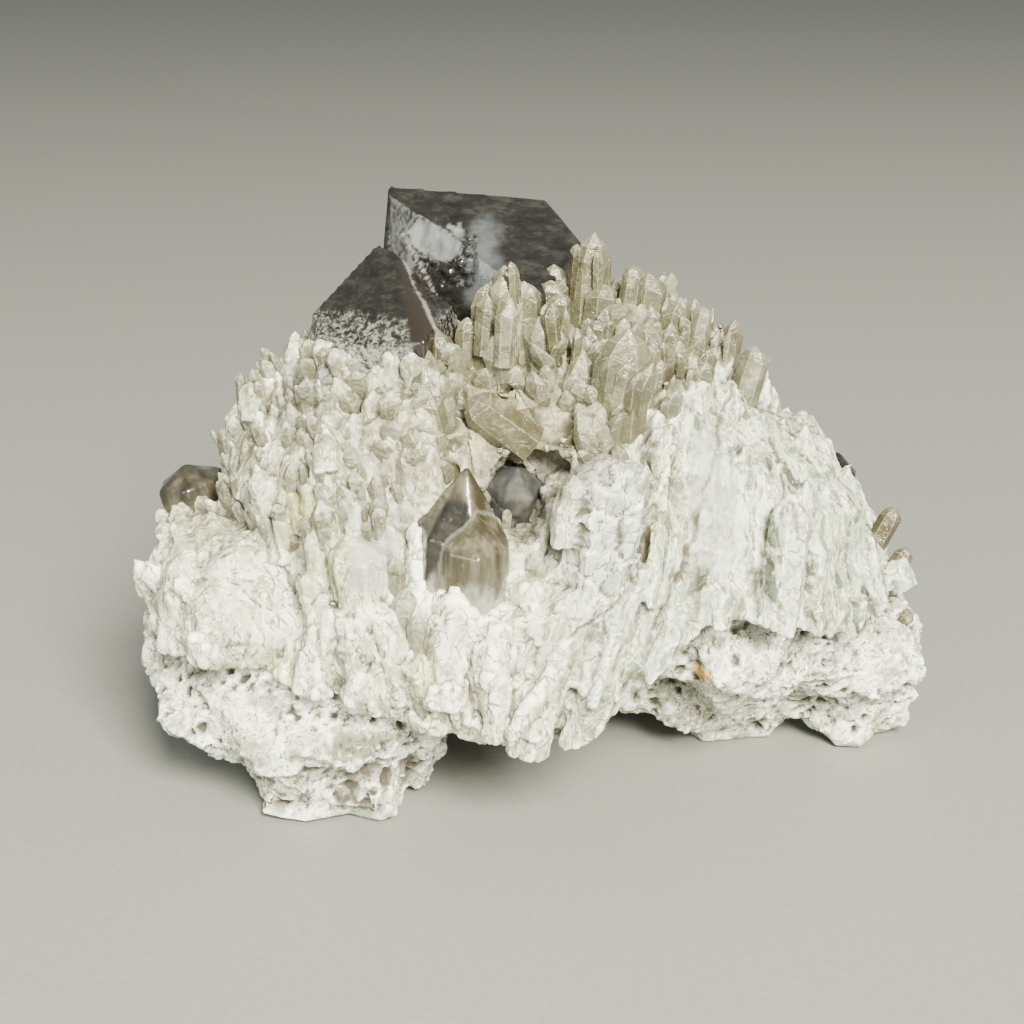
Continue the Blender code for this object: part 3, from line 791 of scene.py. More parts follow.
def smoky_shell(node, name, step=SMOKY_STEP):
    """Outer surface of a smoky crystal, with its chipped, etched and coated parts and painted highlights along its
    edges.
    """
    piece = copy_node(node, name)
    remesh(piece, step)
    mesh = piece.data
    places = read_places(mesh)
    normals = read_normals(mesh)
    ragged = places + 0.5 * np.stack([layered(places, 1.6, seed) for seed in (32, 33, 34)], axis=1)
    frosted = np.maximum(patch(ragged, CHIP, 0.15), patch(ragged, SMALL_CHIP, 0.15))
    pitted = patch(ragged, PITTED, 0.3) * (1 - frosted)
    long_face = patch(places, LONG_FACE, 0.3)
    front = (1 - ease(places[:, 1], -12, -8)) * (1 - long_face) * (node == "main_smoky_crystals")
    etched = ease(71.6 + 0.6 * layered(places, (4, 4, 1), 35) - places[:, 2], 0.0, 0.8) * front
    streaks = layered(places, (1.5, 1.5, 9), 38)
    hollow = np.full(len(places), float(node == "pocket_smoky_point"))
    rise = (0.04 + 0.14 * hollow) * layered(places, 3 - 1.8 * hollow[0], 31) - frosted * (0.35 + 0.25 * layered(places, (1.2, 1.2, 3), 37))
    rise -= pitted * (0.3 + 0.5 * layered(places, 1.2, 36)) + 0.15 * etched * (0.5 + layered(places, 0.9, 37))
    write_places(mesh, places + normals * rise[:, None])
    store(mesh, "frosted", frosted * np.clip(0.6 + 0.5 * streaks, 0, 1))
    store(mesh, "pitted", pitted)
    store(mesh, "etched", etched)
    store(mesh, "downwards", ease(73 - places[:, 2], 0, 10))
    light = np.zeros(len(places))
    if node == "front_smoky_pair":
        light = 1 - 0.9 * patch(places + 0.4 * bumps(places, 2, 40)[:, None], PAIR_DARK, 0.35)
    if node == "left_smoky_point":
        light = 0.3 + 0.5 * ease(bumps(places, 3, 41), -0.2, 0.4)
    store(mesh, "light", light + hollow * (0.2 + 0.6 * bumps(places, 2.0, 42)))
    store(mesh, "dull", 0.75 * hollow + 0.2 * (node == "front_smoky_pair"))
    store(mesh, "brown", long_face)
    # Edges carry a painted highlight.
    store(mesh, "edge", np.max([share * stroke(places, corners, 0.25) for share, corners in EDGE_HIGHLIGHTS], axis=0))
    veil = patch(ragged + 1.0 * bumps(places, 3, 39)[:, None], VEIL, 1.2)
    store(mesh, "veiled", np.maximum(veil, 0.15 * hollow))
    fading = 1 - ease(places[:, 2] + 2.4 * layered(places, (0.9, 0.9, 2.2), 33), 33.5, 40)
    store(mesh, "coated", fading * (1 - 0.8 * hollow))
    return piece


def smoky_cloud(node, name, depth):
    """Clouded inner body of a smoky crystal, which stops the light inside it."""
    piece = copy_node(node, name)
    remesh(piece, 0.8)
    mesh = piece.data
    places = soften(read_places(mesh), read_links(mesh), 3)
    normals = read_normals(mesh)
    shrink = depth * (1 + 0.5 * layered(places, 5, 34))
    write_places(mesh, places - normals * shrink[:, None])
    store(mesh, "veiled", patch(places, VEIL, 1.5))
    store(mesh, "turned", normals[:, 0])
    return piece


# Materials

def add(tree, kind, inputs=None, stops=None, **settings):
    """Add a node with its settings, its values or links, and a colour ramp's stops."""
    made = tree.nodes.new(kind)
    for name, value in settings.items():
        setattr(made, name, value)
    for name, value in (inputs or {}).items():
        if isinstance(value, bpy.types.NodeSocket):
            tree.links.new(value, made.inputs[name])
        else:
            made.inputs[name].default_value = value
    if stops:
        marks = made.color_ramp.elements
        while len(marks) < len(stops):
            marks.new(0.5)
        for mark, (where, colour) in zip(marks, stops):
            mark.position = where
            mark.color = linear(colour)
    return made


def new_material(name):
    material = bpy.data.materials.new(name)
    material.use_nodes = True
    tree = material.node_tree
    tree.nodes.clear()
    return material, tree


def finish_material(tree, shader):
    add(tree, "ShaderNodeOutputMaterial", {"Surface": shader.outputs["BSDF"]})


def mix_colour(tree, factor, first, second, blend="MIX"):
    made = add(tree, "ShaderNodeMix", data_type="RGBA", blend_type=blend)
    for index, value in ((0, factor), (6, first), (7, second)):
        if isinstance(value, bpy.types.NodeSocket):
            tree.links.new(value, made.inputs[index])
        else:
            made.inputs[index].default_value = value
    return made.outputs[2]


def coated_quartz():
    """Milky quartz under a thin white coating: white edges, partly chalky and partly painted highlight, grey, cream
    and green-white faces, brown-grey lines in the furrows between the crystals, and painted shade in furrows and
    hollows."""
    material, tree = new_material("milky quartz, white coating")

    def read(name):
        return add(tree, "ShaderNodeAttribute", attribute_name=name)

    spot = add(tree, "ShaderNodeTexCoord").outputs["Object"]
    flank = read("flank").outputs["Fac"]
    low = read("low").outputs["Fac"]
    warp = add(tree, "ShaderNodeTexNoise", {"Vector": spot, "Scale": 1 / (3 * MM), "Detail": 3.0}).outputs["Color"]
    lines = []
    for name, across, along in (("fan_lines", 1.8, 6.5), ("flank_lines", 1.5, 13.0)):
        moved = add(tree, "ShaderNodeVectorMath", {0: warp, 1: (2.4, 2.4, 2.4), 2: read(name).outputs["Vector"]},
                    operation="MULTIPLY_ADD").outputs[0]
        lines.append(add(tree, "ShaderNodeMapping", {"Vector": moved, "Scale": (
            1 / across, 1 / across, 1 / along)}).outputs[0])
    spread = add(tree, "ShaderNodeMath", {0: flank, 1: 0.5}, operation="GREATER_THAN").outputs[0]
    growth = add(tree, "ShaderNodeMix", {0: spread, 4: lines[0], 5: lines[1]}, data_type="VECTOR").outputs[1]
    streak = add(tree, "ShaderNodeTexNoise", {"Vector": growth, "Scale": 1.9, "Detail": 5.0,
                                              "Roughness": 0.65}).outputs["Fac"]
    blade = add(tree, "ShaderNodeTexVoronoi", {"Vector": growth, "Scale": 1.0})
    rim = add(tree, "ShaderNodeTexVoronoi", {"Vector": growth, "Scale": 1.0},
              feature="DISTANCE_TO_EDGE").outputs["Distance"]
    from_middle = add(tree, "ShaderNodeVectorMath", {0: growth, 1: blade.outputs["Position"]}, operation="SUBTRACT")
    leaning = add(tree, "ShaderNodeVectorMath", {0: blade.outputs["Color"], 1: (0.5, 0.5, 0.5)}, operation="SUBTRACT")
    tilt = add(tree, "ShaderNodeVectorMath", {0: from_middle.outputs[0], 1: leaning.outputs[0]},
               operation="DOT_PRODUCT").outputs["Value"]
    fine = add(tree, "ShaderNodeTexNoise", {"Vector": spot, "Scale": 1 / (0.5 * MM), "Detail": 3.0}).outputs["Fac"]
    broad = add(tree, "ShaderNodeTexNoise", {"Vector": spot, "Scale": 1 / (8 * MM), "Detail": 3.0}).outputs["Fac"]
    mottle = add(tree, "ShaderNodeTexNoise", {"Vector": spot, "Scale": 1 / (2.2 * MM), "Detail": 4.0,
                                              "Roughness": 0.65, "Distortion": 0.5}).outputs["Fac"]
    worms = add(tree, "ShaderNodeTexNoise", {"Vector": spot, "Scale": 1 / (1.6 * MM), "Detail": 2.0,
                                             "Distortion": 1.5}).outputs["Fac"]
    own = add(tree, "ShaderNodeMix", {0: 0.4, 2: read("tint").outputs["Fac"], 3: blade.outputs["Color"]}).outputs[0]
    face = add(tree, "ShaderNodeValToRGB", {"Fac": own}, stops=[
        (0.15, "#565d4a"), (0.3, "#857c58"), (0.42, "#8f927c"), (0.54, "#b9b698"), (0.66, "#73776d"),
        (0.76, "#a9a58a"), (0.88, "#c9c8b4")]).outputs["Color"]
    tipped = add(tree, "ShaderNodeValToRGB", {"Fac": own}, stops=[
        (0.15, "#453e2a"), (0.4, "#6b654b"), (0.6, "#5a5e50"), (0.8, "#7f7c64")]).outputs["Color"]
    chalk = add(tree, "ShaderNodeValToRGB", {"Fac": own}, stops=[
        (0.2, "#838970"), (0.4, "#b9b99f"), (0.55, "#d9d9c8"), (0.7, "#a8a384"), (0.85, "#cfcfc0")]).outputs["Color"]
    drawn = add(tree, "ShaderNodeMix", {0: 0.5, 2: blade.outputs["Color"], 3: streak}).outputs[0]
    fibrous = add(tree, "ShaderNodeValToRGB", {"Fac": drawn}, stops=[
        (0.3, "#31382a"), (0.4, "#5c6551"), (0.5, "#89927f"), (0.58, "#c2cab9"), (0.7, "#6f7a67")]).outputs["Color"]
    beige = add(tree, "ShaderNodeValToRGB", {"Fac": own}, stops=[
        (0.2, "#534c35"), (0.5, "#777152"), (0.8, "#989272")]).outputs["Color"]
    chalky = add(tree, "ShaderNodeMapRange", {"Value": broad, "From Min": 0.48, "From Max": 0.6,
                                              "To Max": 0.8}).outputs[0]
    chalky = add(tree, "ShaderNodeMath", {0: chalky, 1: low}, operation="MAXIMUM").outputs[0]
    colour = mix_colour(tree, chalky, face, chalk)
    tip = add(tree, "ShaderNodeMath", {0: read("tips").outputs["Fac"], 1: 0.75}, operation="MULTIPLY").outputs[0]
    colour = mix_colour(tree, tip, colour, tipped)
    colour = mix_colour(tree, flank, colour, fibrous)
    whiter = add(tree, "ShaderNodeMapRange", {"Value": mottle, "From Min": 0.54, "From Max": 0.64,
                                              "To Max": 0.65}).outputs[0]
    colour = mix_colour(tree, whiter, colour, linear("#dcdccb"))
    browner = add(tree, "ShaderNodeMapRange", {"Value": mottle, "From Min": 0.43, "From Max": 0.33,
                                               "To Max": 0.7}).outputs[0]
    colour = mix_colour(tree, browner, colour, linear("#625c41"))
    warmth = add(tree, "ShaderNodeMath", {0: read("warm").outputs["Fac"], 1: 0.6}, operation="MULTIPLY")
    brown = add(tree, "ShaderNodeMath", {0: warmth.outputs[0], 1: read("clear").outputs["Fac"]},
                operation="MAXIMUM")
    colour = mix_colour(tree, brown.outputs[0], colour, beige)
    stain = add(tree, "ShaderNodeMath", {0: read("green").outputs["Fac"], 1: 0.75}, operation="MULTIPLY")
    colour = mix_colour(tree, stain.outputs[0], colour, linear("#a5a25c"))
    zone = add(tree, "ShaderNodeMapRange", {"Value": broad, "From Min": 0.5, "From Max": 0.38,
                                            "To Max": 0.55}).outputs[0]
    colour = mix_colour(tree, zone, colour, linear("#7f8773"))
    bluish = add(tree, "ShaderNodeMath", {0: read("lilac").outputs["Fac"], 1: 0.5}, operation="MULTIPLY")
    colour = mix_colour(tree, bluish.outputs[0], colour, linear("#a9adad"))
    # Raised edges whiten: partly the chalky coating, partly a painted highlight.
    edge = add(tree, "ShaderNodeMapRange", {"Value": read("relief").outputs["Fac"], "From Min": 0.35,
                                            "From Max": 1.0, "To Max": 0.7}).outputs[0]
    glassy = add(tree, "ShaderNodeMapRange", {"Value": read("clear").outputs["Fac"], "To Min": 1.0,
                                              "To Max": 0.15}).outputs[0]
    thin = add(tree, "ShaderNodeMapRange", {"Value": read("tips").outputs["Fac"], "To Min": 1.0,
                                            "To Max": 0.35}).outputs[0]
    glassy = add(tree, "ShaderNodeMath", {0: glassy, 1: thin}, operation="MULTIPLY").outputs[0]
    edge = add(tree, "ShaderNodeMath", {0: edge, 1: glassy}, operation="MULTIPLY").outputs[0]
    colour = mix_colour(tree, edge, colour, linear("#f6f6e8"))
    # Painted highlight: a thin light band just inside each crystal's outline.
    rim_highlight = add(tree, "ShaderNodeMapRange", {"Value": rim, "From Min": 0.14, "From Max": 0.07,
                                                 "To Max": 0.35}).outputs[0]
    rim_highlight = add(tree, "ShaderNodeMath", {0: rim_highlight, 1: glassy}, operation="MULTIPLY").outputs[0]
    colour = mix_colour(tree, rim_highlight, colour, linear("#eeeedd"))
    gap = add(tree, "ShaderNodeMapRange", {"Value": rim, "From Min": 0.07, "From Max": 0.03}).outputs[0]
    broken = add(tree, "ShaderNodeMapRange", {"Value": mottle, "From Min": 0.4, "From Max": 0.55,
                                              "To Max": 0.8}).outputs[0]
    gap = add(tree, "ShaderNodeMath", {0: gap, 1: broken}, operation="MULTIPLY").outputs[0]
    colour = mix_colour(tree, gap, colour, linear("#5c573e"))
    curl = add(tree, "ShaderNodeMath", {0: worms, 1: 0.5}, operation="SUBTRACT")
    curl = add(tree, "ShaderNodeMath", {0: curl.outputs[0]}, operation="ABSOLUTE")
    curl = add(tree, "ShaderNodeMapRange", {"Value": curl.outputs[0], "From Min": 0.02, "From Max": 0.0,
                                            "To Max": 0.55}).outputs[0]
    colour = mix_colour(tree, curl, colour, linear("#5d5940"))
    # Furrows darken brown-grey: the streaks are the lines' own colour, the darkening of low relief is painted shade.
    cut = add(tree, "ShaderNodeMath", {0: streak, 1: 0.5}, operation="SUBTRACT")
    cut = add(tree, "ShaderNodeMath", {0: cut.outputs[0], 1: 3.0, 2: read("relief").outputs["Fac"]},
              operation="MULTIPLY_ADD")
    furrow = add(tree, "ShaderNodeMapRange", {"Value": cut.outputs[0], "From Min": -0.15, "From Max": -0.9,
                                              "To Max": 0.85}).outputs[0]
    colour = mix_colour(tree, furrow, colour, linear("#47432f"))
    # Painted shade: broad hollows of the crust are darkened.
    recess_shade = add(tree, "ShaderNodeMapRange", {"Value": read("swell").outputs["Fac"], "From Min": -0.3,
                                            "From Max": -1.0, "To Max": 0.7}).outputs[0]
    colour = mix_colour(tree, recess_shade, colour, linear("#383123"))
    plain = add(tree, "ShaderNodeMath", {0: read("plain").outputs["Fac"], 1: 0.6}, operation="MULTIPLY")
    colour = mix_colour(tree, plain.outputs[0], colour, linear("#989a96"))
    hollow = add(tree, "ShaderNodeValToRGB", {"Fac": mottle}, stops=[
        (0.38, "#2f2a22"), (0.5, "#5d584c"), (0.6, "#8f8b7a")]).outputs["Color"]
    shadow = add(tree, "ShaderNodeMath", {0: read("cavity").outputs["Fac"], 1: 0.8}, operation="MULTIPLY")
    colour = mix_colour(tree, shadow.outputs[0], colour, hollow)
    line = add(tree, "ShaderNodeMath", {0: read("line").outputs["Fac"], 1: 0.75}, operation="MULTIPLY")
    colour = mix_colour(tree, line.outputs[0], colour, linear("#4d4531"))
    height = add(tree, "ShaderNodeMath", {0: fine, 1: 0.25, 2: tilt}, operation="MULTIPLY_ADD").outputs[0]
    height = add(tree, "ShaderNodeMath", {0: streak, 1: 0.5, 2: height}, operation="MULTIPLY_ADD").outputs[0]
    bump = add(tree, "ShaderNodeBump", {"Height": height, "Strength": 0.8, "Distance": 0.55 * MM})
    rough = add(tree, "ShaderNodeMapRange", {"Value": chalky, "To Min": 0.38, "To Max": 0.7}).outputs[0]
    shader = add(tree, "ShaderNodeBsdfPrincipled", {"Base Color": colour, "Roughness": rough,
                                                    "Normal": bump.outputs[0]})
    finish_material(tree, shader)
    return material


def crumbly_rock():
    """Weathered white feldspar rock: crumbly and chalky, with brown-grey pits and a few greenish grains, painted
    highlights on raised points and painted shade in furrows, hollows, pits and under the hem.
    """
    material, tree = new_material("weathered feldspar rock")

    def read(name):
        return add(tree, "ShaderNodeAttribute", attribute_name=name).outputs["Fac"]

    spot = add(tree, "ShaderNodeTexCoord").outputs["Object"]
    fine = add(tree, "ShaderNodeTexNoise", {"Vector": spot, "Scale": 1 / (0.7 * MM), "Detail": 4.0,
                                            "Roughness": 0.65}).outputs["Fac"]
    mottle = add(tree, "ShaderNodeTexNoise", {"Vector": spot, "Scale": 1 / (3 * MM), "Detail": 5.0,
                                              "Roughness": 0.65}).outputs["Fac"]
    colour = add(tree, "ShaderNodeValToRGB", {"Fac": mottle}, stops=[
        (0.34, "#75765f"), (0.43, "#a8ac98"), (0.5, "#e6e7da"), (0.62, "#bab9a2")]).outputs["Color"]
    glassy = add(tree, "ShaderNodeMapRange", {"Value": read("plate"), "From Min": 0.6, "From Max": 0.66,
                                              "To Max": 0.6}).outputs[0]
    colour = mix_colour(tree, glassy, colour, linear("#7d8370"))
    colour = mix_colour(tree, read("green"), colour, linear("#6c705b"))
    tanned = add(tree, "ShaderNodeMath", {0: read("tan"), 1: 0.3}, operation="MULTIPLY")
    colour = mix_colour(tree, tanned.outputs[0], colour, linear("#8b7f5e"))
    # Raised points whiten: partly white grains, partly a painted highlight.
    edge = add(tree, "ShaderNodeMapRange", {"Value": read("relief"), "From Min": 0.25, "From Max": 0.9,
                                            "To Max": 0.8}).outputs[0]
    colour = mix_colour(tree, edge, colour, linear("#f8f8ec"))
    worms = add(tree, "ShaderNodeTexNoise", {"Vector": spot, "Scale": 1 / (1.3 * MM), "Detail": 2.0,
                                             "Distortion": 1.5}).outputs["Fac"]
    curl = add(tree, "ShaderNodeMath", {0: worms, 1: 0.5}, operation="SUBTRACT")
    curl = add(tree, "ShaderNodeMath", {0: curl.outputs[0]}, operation="ABSOLUTE")
    curl = add(tree, "ShaderNodeMapRange", {"Value": curl.outputs[0], "From Min": 0.045, "From Max": 0.01,
                                            "To Max": 0.9}).outputs[0]
    eaten = add(tree, "ShaderNodeMapRange", {"Value": mottle, "From Min": 0.45, "From Max": 0.53}).outputs[0]
    curl = add(tree, "ShaderNodeMath", {0: curl, 1: eaten}, operation="MULTIPLY").outputs[0]
    colour = mix_colour(tree, curl, colour, linear("#4a4638"))
    # Painted shade: low relief in the fine furrows is darkened, broken up by fine noise.
    cut = add(tree, "ShaderNodeMath", {0: fine, 1: 0.5}, operation="SUBTRACT")
    cut = add(tree, "ShaderNodeMath", {0: cut.outputs[0], 1: 4.0, 2: read("relief")}, operation="MULTIPLY_ADD")
    furrow = add(tree, "ShaderNodeMapRange", {"Value": cut.outputs[0], "From Min": -0.3, "From Max": -0.8,
                                              "To Max": 0.85}).outputs[0]
    colour = mix_colour(tree, furrow, colour, linear("#433d2b"))
    # Painted shade: broad hollows of the rock are darkened.
    recess_shade = add(tree, "ShaderNodeMapRange", {"Value": read("swell"), "From Min": -0.1, "From Max": -0.8,
                                            "To Max": 0.8}).outputs[0]
    colour = mix_colour(tree, recess_shade, colour, linear("#332b1b"))
    # Painted shade: the pits are filled with near-black brown.
    dark = add(tree, "ShaderNodeMath", {0: read("pits"), 1: 0.85}, operation="MULTIPLY")
    colour = mix_colour(tree, dark.outputs[0], colour, linear("#2f2a1e"))
    # Painted shadow: a dark grey band under the overhanging hem of the coating.
    shade = add(tree, "ShaderNodeMath", {0: read("hem_shadow"), 1: 0.8}, operation="MULTIPLY")
    colour = mix_colour(tree, shade.outputs[0], colour, linear("#5a594f"))
    colour = mix_colour(tree, read("grain"), colour, linear("#a98a52"))
    bump = add(tree, "ShaderNodeBump", {"Height": fine, "Strength": 0.7, "Distance": 0.3 * MM})
    shader = add(tree, "ShaderNodeBsdfPrincipled", {"Base Color": colour, "Roughness": 0.8,
                                                    "Normal": bump.outputs[0]})
    finish_material(tree, shader)
    return material


def clear_quartz():
    """Clear to milky quartz points: glassy, pale beige to grey-green, partly see-through, with pale veils, painted
    light at tips and bevelled edges and painted shade at coated roots.
    """
    material, tree = new_material("milky quartz, glassy points")

    def read(name):
        return add(tree, "ShaderNodeAttribute", attribute_name=name).outputs["Fac"]

    spot = add(tree, "ShaderNodeTexCoord").outputs["Object"]
    cloud = add(tree, "ShaderNodeTexNoise", {"Vector": spot, "Scale": 1 / (3 * MM), "Detail": 4.0,
                                             "Roughness": 0.6}).outputs["Fac"]
    fine = add(tree, "ShaderNodeTexNoise", {"Vector": spot, "Scale": 1 / (0.7 * MM), "Detail": 4.0}).outputs["Fac"]
    wrinkle = add(tree, "ShaderNodeTexNoise", {"Vector": spot, "Scale": 1 / (1.3 * MM), "Detail": 5.0,
                                               "Roughness": 0.65, "Distortion": 1.0}).outputs["Fac"]
    varied = add(tree, "ShaderNodeMix", {0: 0.6, 2: read("tint"), 3: cloud}).outputs[0]
    colour = add(tree, "ShaderNodeValToRGB", {"Fac": varied}, stops=[
        (0.22, "#463e29"), (0.36, "#5c563c"), (0.46, "#777257"), (0.54, "#5f6048"), (0.66, "#8f8c73"),
        (0.8, "#747769")]).outputs["Color"]
    # Painted light: the tips are lighter, as if light shines through them.
    rim = add(tree, "ShaderNodeMapRange", {"Value": read("tips"), "From Min": 0.3, "From Max": 0.9,
                                           "To Max": 0.25}).outputs[0]
    colour = mix_colour(tree, rim, colour, linear("#a3a088"))
    furrow = add(tree, "ShaderNodeMapRange", {"Value": wrinkle, "From Min": 0.42, "From Max": 0.3,
                                              "To Max": 0.6}).outputs[0]
    colour = mix_colour(tree, furrow, colour, linear("#4d452e"))
    frost = add(tree, "ShaderNodeMapRange", {"Value": cloud, "From Min": 0.58, "From Max": 0.72,
                                             "To Max": 0.5}).outputs[0]
    colour = mix_colour(tree, frost, colour, linear("#bab59a"))
    flour = add(tree, "ShaderNodeValToRGB", {"Fac": wrinkle}, stops=[
        (0.36, "#5d5a42"), (0.47, "#95967d"), (0.56, "#c9c9b6"), (0.68, "#e9e9db")]).outputs["Color"]
    colour = mix_colour(tree, read("coat"), colour, flour)
    # Painted shade: coated points darken towards their roots in the crust.
    root = add(tree, "ShaderNodeMapRange", {"Value": read("tips"), "From Min": 0.5, "From Max": 0.0,
                                            "To Max": 0.5}).outputs[0]
    root = add(tree, "ShaderNodeMath", {0: read("coat"), 1: root}, operation="MULTIPLY", use_clamp=True).outputs[0]
    colour = mix_colour(tree, root, colour, linear("#6f6a4f"))
    # Painted highlight along the bevelled edges.
    bright = add(tree, "ShaderNodeMapRange", {"Value": wrinkle, "From Min": 0.35, "From Max": 0.65,
                                              "To Max": 0.5}).outputs[0]
    bright = add(tree, "ShaderNodeMath", {0: read("edge"), 1: bright}, operation="MULTIPLY").outputs[0]
    colour = mix_colour(tree, bright, colour, linear("#c9c6b2"))
    rough = add(tree, "ShaderNodeMapRange", {"Value": fine, "From Min": 0.4, "From Max": 0.7,
                                             "To Min": 0.08, "To Max": 0.35}).outputs[0]
    rough = add(tree, "ShaderNodeMath", {0: read("coat"), 1: 0.5, 2: rough}, operation="MULTIPLY_ADD").outputs[0]
    height = add(tree, "ShaderNodeMath", {0: wrinkle, 1: 2.5, 2: fine}, operation="MULTIPLY_ADD").outputs[0]
    bump = add(tree, "ShaderNodeBump", {"Height": height, "Strength": 0.6, "Distance": 0.2 * MM})
    shader = add(tree, "ShaderNodeBsdfPrincipled", {
        "Base Color": colour, "Roughness": rough, "IOR": 1.544, "Transmission Weight": 0.5,
        "Normal": bump.outputs[0]})
    haze = add(tree, "ShaderNodeVolumeAbsorption", {"Color": linear("#d9d3ba"), "Density": 150.0})
    add(tree, "ShaderNodeOutputMaterial", {"Surface": shader.outputs[0], "Volume": haze.outputs[0]})
    return material


def smoky_glass():
    """Smoky quartz: grey-brown glass, white and rough where it is chipped, etched or coated, and along edges as a
    painted highlight.
    """
    material, tree = new_material("smoky quartz, clear")

    def read(name):
        return add(tree, "ShaderNodeAttribute", attribute_name=name).outputs["Fac"]

    spot = add(tree, "ShaderNodeTexCoord").outputs["Object"]
    fine = add(tree, "ShaderNodeTexNoise", {"Vector": spot, "Scale": 1 / (0.7 * MM), "Detail": 4.0}).outputs["Fac"]
    flecks = add(tree, "ShaderNodeTexNoise", {"Vector": spot, "Scale": 1 / (0.9 * MM), "Detail": 6.0,
                                              "Roughness": 0.85}).outputs["Fac"]
    level = add(tree, "ShaderNodeMapping", {"Vector": spot, "Scale": (0.4, 0.6, 1.0)})
    bands = add(tree, "ShaderNodeTexNoise", {"Vector": level.outputs[0], "Scale": 1 / (1.4 * MM), "Detail": 6.0,
                                             "Roughness": 0.75}).outputs["Fac"]
    low = add(tree, "ShaderNodeMath", {0: read("downwards"), 1: 0.07, 2: flecks}, operation="MULTIPLY_ADD").outputs[0]
    flecked = add(tree, "ShaderNodeMapRange", {"Value": low, "From Min": 0.5, "From Max": 0.62,
                                               "To Max": 0.85}).outputs[0]
    flecked = add(tree, "ShaderNodeMath", {0: flecked, 1: read("etched")}, operation="MULTIPLY").outputs[0]
    specks = add(tree, "ShaderNodeMapRange", {"Value": flecks, "From Min": 0.6, "From Max": 0.7,
                                              "To Max": 0.25}).outputs[0]
    white = add(tree, "ShaderNodeMath", {0: read("frosted"), 1: read("coated")}, operation="MAXIMUM").outputs[0]
    white = add(tree, "ShaderNodeMath", {0: white, 1: flecked}, operation="MAXIMUM").outputs[0]
    white = add(tree, "ShaderNodeMath", {0: white, 1: specks}, operation="MAXIMUM").outputs[0]
    # Edges are whitened and roughened as a painted highlight.
    white = add(tree, "ShaderNodeMath", {0: white, 1: read("edge")}, operation="MAXIMUM", use_clamp=True).outputs[0]
    veil = add(tree, "ShaderNodeMath", {0: read("veiled"), 1: bands}, operation="MULTIPLY").outputs[0]
    colour = add(tree, "ShaderNodeValToRGB", {"Fac": bands}, stops=[
        (0.34, "#161513"), (0.5, "#262422"), (0.62, "#3c3935")]).outputs["Color"]
    upright = add(tree, "ShaderNodeMapping", {"Vector": spot, "Scale": (1.0, 1.0, 0.12)})
    fans = add(tree, "ShaderNodeTexNoise", {"Vector": upright.outputs[0], "Scale": 1 / (1.8 * MM), "Detail": 3.0,
                                            "Roughness": 0.6}).outputs["Fac"]
    pale = add(tree, "ShaderNodeValToRGB", {"Fac": fans}, stops=[
        (0.36, "#463f2e"), (0.5, "#655f4b"), (0.62, "#837e6a")]).outputs["Color"]
    colour = mix_colour(tree, read("light"), colour, pale)
    colour = mix_colour(tree, read("brown"), colour, linear("#2f2922"))
    colour = mix_colour(tree, veil, colour, linear("#7b8184"))
    flour = mix_colour(tree, read("downwards"), linear("#9b9890"), linear("#d0cec4"))
    colour = mix_colour(tree, white, colour, flour)
    colour = mix_colour(tree, read("frosted"), colour, linear("#848b8e"))
    crumbs = add(tree, "ShaderNodeValToRGB", {"Fac": flecks}, stops=[
        (0.36, "#8d8871"), (0.48, "#bab7a3"), (0.62, "#dcdacb")]).outputs["Color"]
    colour = mix_colour(tree, read("coated"), colour, crumbs)
    holes = add(tree, "ShaderNodeMapRange", {"Value": flecks, "From Min": 0.5, "From Max": 0.42}).outputs[0]
    holes = add(tree, "ShaderNodeMath", {0: holes, 1: read("pitted")}, operation="MULTIPLY").outputs[0]
    colour = mix_colour(tree, holes, colour, linear("#15110c"))
    rough = add(tree, "ShaderNodeMapRange", {"Value": white, "To Min": 0.15, "To Max": 0.5})
    rough = add(tree, "ShaderNodeMath", {0: rough.outputs[0], 1: read("dull")}, operation="MAXIMUM")
    bump = add(tree, "ShaderNodeBump", {"Height": fine, "Strength": 0.2, "Distance": 0.2 * MM})
    shader = add(tree, "ShaderNodeBsdfPrincipled", {
        "Base Color": colour, "Roughness": rough.outputs[0], "IOR": 1.544,
        "Transmission Weight": 0.6, "Normal": bump.outputs[0]})
    smoke = add(tree, "ShaderNodeVolumeAbsorption", {"Color": linear("#b5aa9c"), "Density": 300.0})
    add(tree, "ShaderNodeOutputMaterial", {"Surface": shader.outputs[0], "Volume": smoke.outputs[0]})
    return material


def smoky_depth():
    """Cloudy heart of a smoky crystal: dark grey-brown with level streaks and pale veils."""
    material, tree = new_material("smoky quartz, clouded heart")

    def read(name):
        return add(tree, "ShaderNodeAttribute", attribute_name=name).outputs["Fac"]

    spot = add(tree, "ShaderNodeTexCoord").outputs["Object"]
    level = add(tree, "ShaderNodeMapping", {"Vector": spot, "Scale": (0.25, 1.0, 1.0)})
    streaks = add(tree, "ShaderNodeTexNoise", {"Vector": level.outputs[0], "Scale": 1 / (1.6 * MM), "Detail": 6.0,
                                               "Roughness": 0.7}).outputs["Fac"]
    veils = add(tree, "ShaderNodeTexNoise", {"Vector": spot, "Scale": 1 / (5 * MM), "Detail": 5.0,
                                             "Roughness": 0.6}).outputs["Fac"]
    both = add(tree, "ShaderNodeMix", {0: 0.5, 2: streaks, 3: veils}).outputs[0]
    both = add(tree, "ShaderNodeMath", {0: read("turned"), 1: -0.06, 2: both}, operation="MULTIPLY_ADD").outputs[0]
    colour = add(tree, "ShaderNodeValToRGB", {"Fac": both}, stops=[
        (0.36, "#0b0a09"), (0.46, "#191816"), (0.54, "#2b2927"), (0.66, "#5c5955")]).outputs["Color"]
    colour = mix_colour(tree, read("veiled"), colour, linear("#565b5e"))
    shader = add(tree, "ShaderNodeBsdfPrincipled", {"Base Color": colour, "Roughness": 0.6})
    finish_material(tree, shader)
    return material


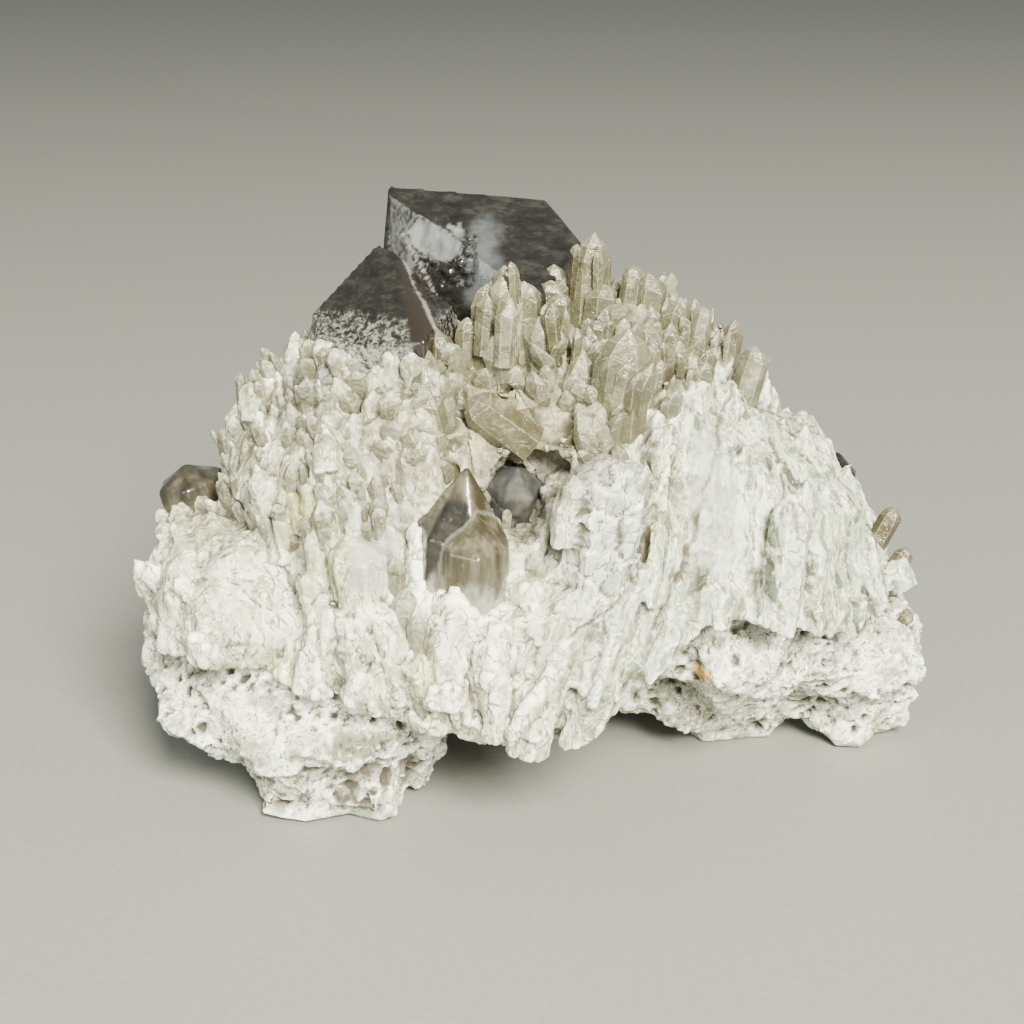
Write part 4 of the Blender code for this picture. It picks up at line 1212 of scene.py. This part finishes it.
def floor_finish():
    material, tree = new_material("pale table")
    spot = add(tree, "ShaderNodeTexCoord").outputs["Object"]
    grain = add(tree, "ShaderNodeTexNoise", {"Vector": spot, "Scale": 900.0, "Detail": 2.0})
    colour = add(tree, "ShaderNodeValToRGB", {"Fac": grain.outputs["Fac"]},
                 stops=[(0.3, "#757671"), (0.7, "#7b7c77")])
    shader = add(tree, "ShaderNodeBsdfPrincipled", {"Base Color": colour.outputs["Color"], "Roughness": 0.6})
    finish_material(tree, shader)
    return material


def place_piece(piece, nodes, material):
    """Give a piece its finish, shade it smooth, hang it under the root and hide the CAD nodes it stands for."""
    piece.data.materials.clear()
    piece.data.materials.append(material)
    use_only(piece)
    bpy.ops.object.shade_smooth()
    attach(piece, "root")
    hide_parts(*nodes)


# Build

coated = coated_quartz()
matrix = crumbly_rock()
glassy = clear_quartz()
smoky = smoky_glass()
heart = smoky_depth()

for name, (step, cuts) in CRUST_PARTS.items():
    part = crust_part(name, step, cuts)
    print(name, sum(len(face.vertices) - 2 for face in part.data.polygons))
    place_piece(part, ["crystal_crust"], coated)

rock = matrix_body()
print("rock", len(rock.data.polygons) * 2)
place_piece(rock, ["matrix_rock"], matrix)

points = clear_points()
print("points", sum(len(face.vertices) - 2 for face in points.data.polygons))
place_piece(points, ["crystal_crust"], glassy)

for node, depth in (("main_smoky_crystals", 1.1), ("front_smoky_pair", 1.3), ("left_smoky_point", 1.2),
                    ("pocket_smoky_point", 1.2), ("right_smoky_point", 1.2)):
    shell = smoky_shell(node, node + "_shell")
    print(node, len(shell.data.polygons) * 2)
    place_piece(shell, [node], smoky)
    place_piece(smoky_cloud(node, node + "_heart", depth), [node], heart)

# Floor, light and camera

bpy.ops.object.select_all(action="DESELECT")
bpy.ops.mesh.primitive_plane_add(size=8.0, location=(0, 2.0, -0.0002))
floor = bpy.context.object
floor.name = "table"
floor.data.materials.append(floor_finish())

world = bpy.data.worlds.new("studio")
world.use_nodes = True
world.node_tree.nodes["Background"].inputs["Color"].default_value = linear("#eef2ea")
world.node_tree.nodes["Background"].inputs["Strength"].default_value = 0.56
bpy.context.scene.world = world


def area_light(name, place, aim, size, power, colour):
    data = bpy.data.lights.new(name, "AREA")
    data.shape = "RECTANGLE"
    data.size, data.size_y = size
    data.energy = power
    data.color = linear(colour)[:3]
    light = bpy.data.objects.new(name, data)
    light.location = place
    light.rotation_euler = (Vector(aim) - Vector(place)).to_track_quat("-Z", "Y").to_euler()
    bpy.context.scene.collection.objects.link(light)


area_light("window", (0.36, -1.18, 0.85), (0, 0, 0.04), (0.5, 0.5), 160, "#fffcea")
area_light("fill", (-0.9, -1.1, 0.35), (0, 0, 0.04), (0.9, 0.6), 13, "#f6faf4")

CAMERA_PLACE = (-4.2, -274.0, 123.7)
lens = bpy.data.cameras.new("camera")
lens.sensor_width = 36
lens.lens = 67.2
lens.clip_start = 0.01
camera = bpy.data.objects.new("camera", lens)
camera.location = Vector(CAMERA_PLACE) * MM
camera.rotation_euler = (math.radians(90 - 17.5), 0, 0)
bpy.context.scene.collection.objects.link(camera)
bpy.context.scene.camera = camera
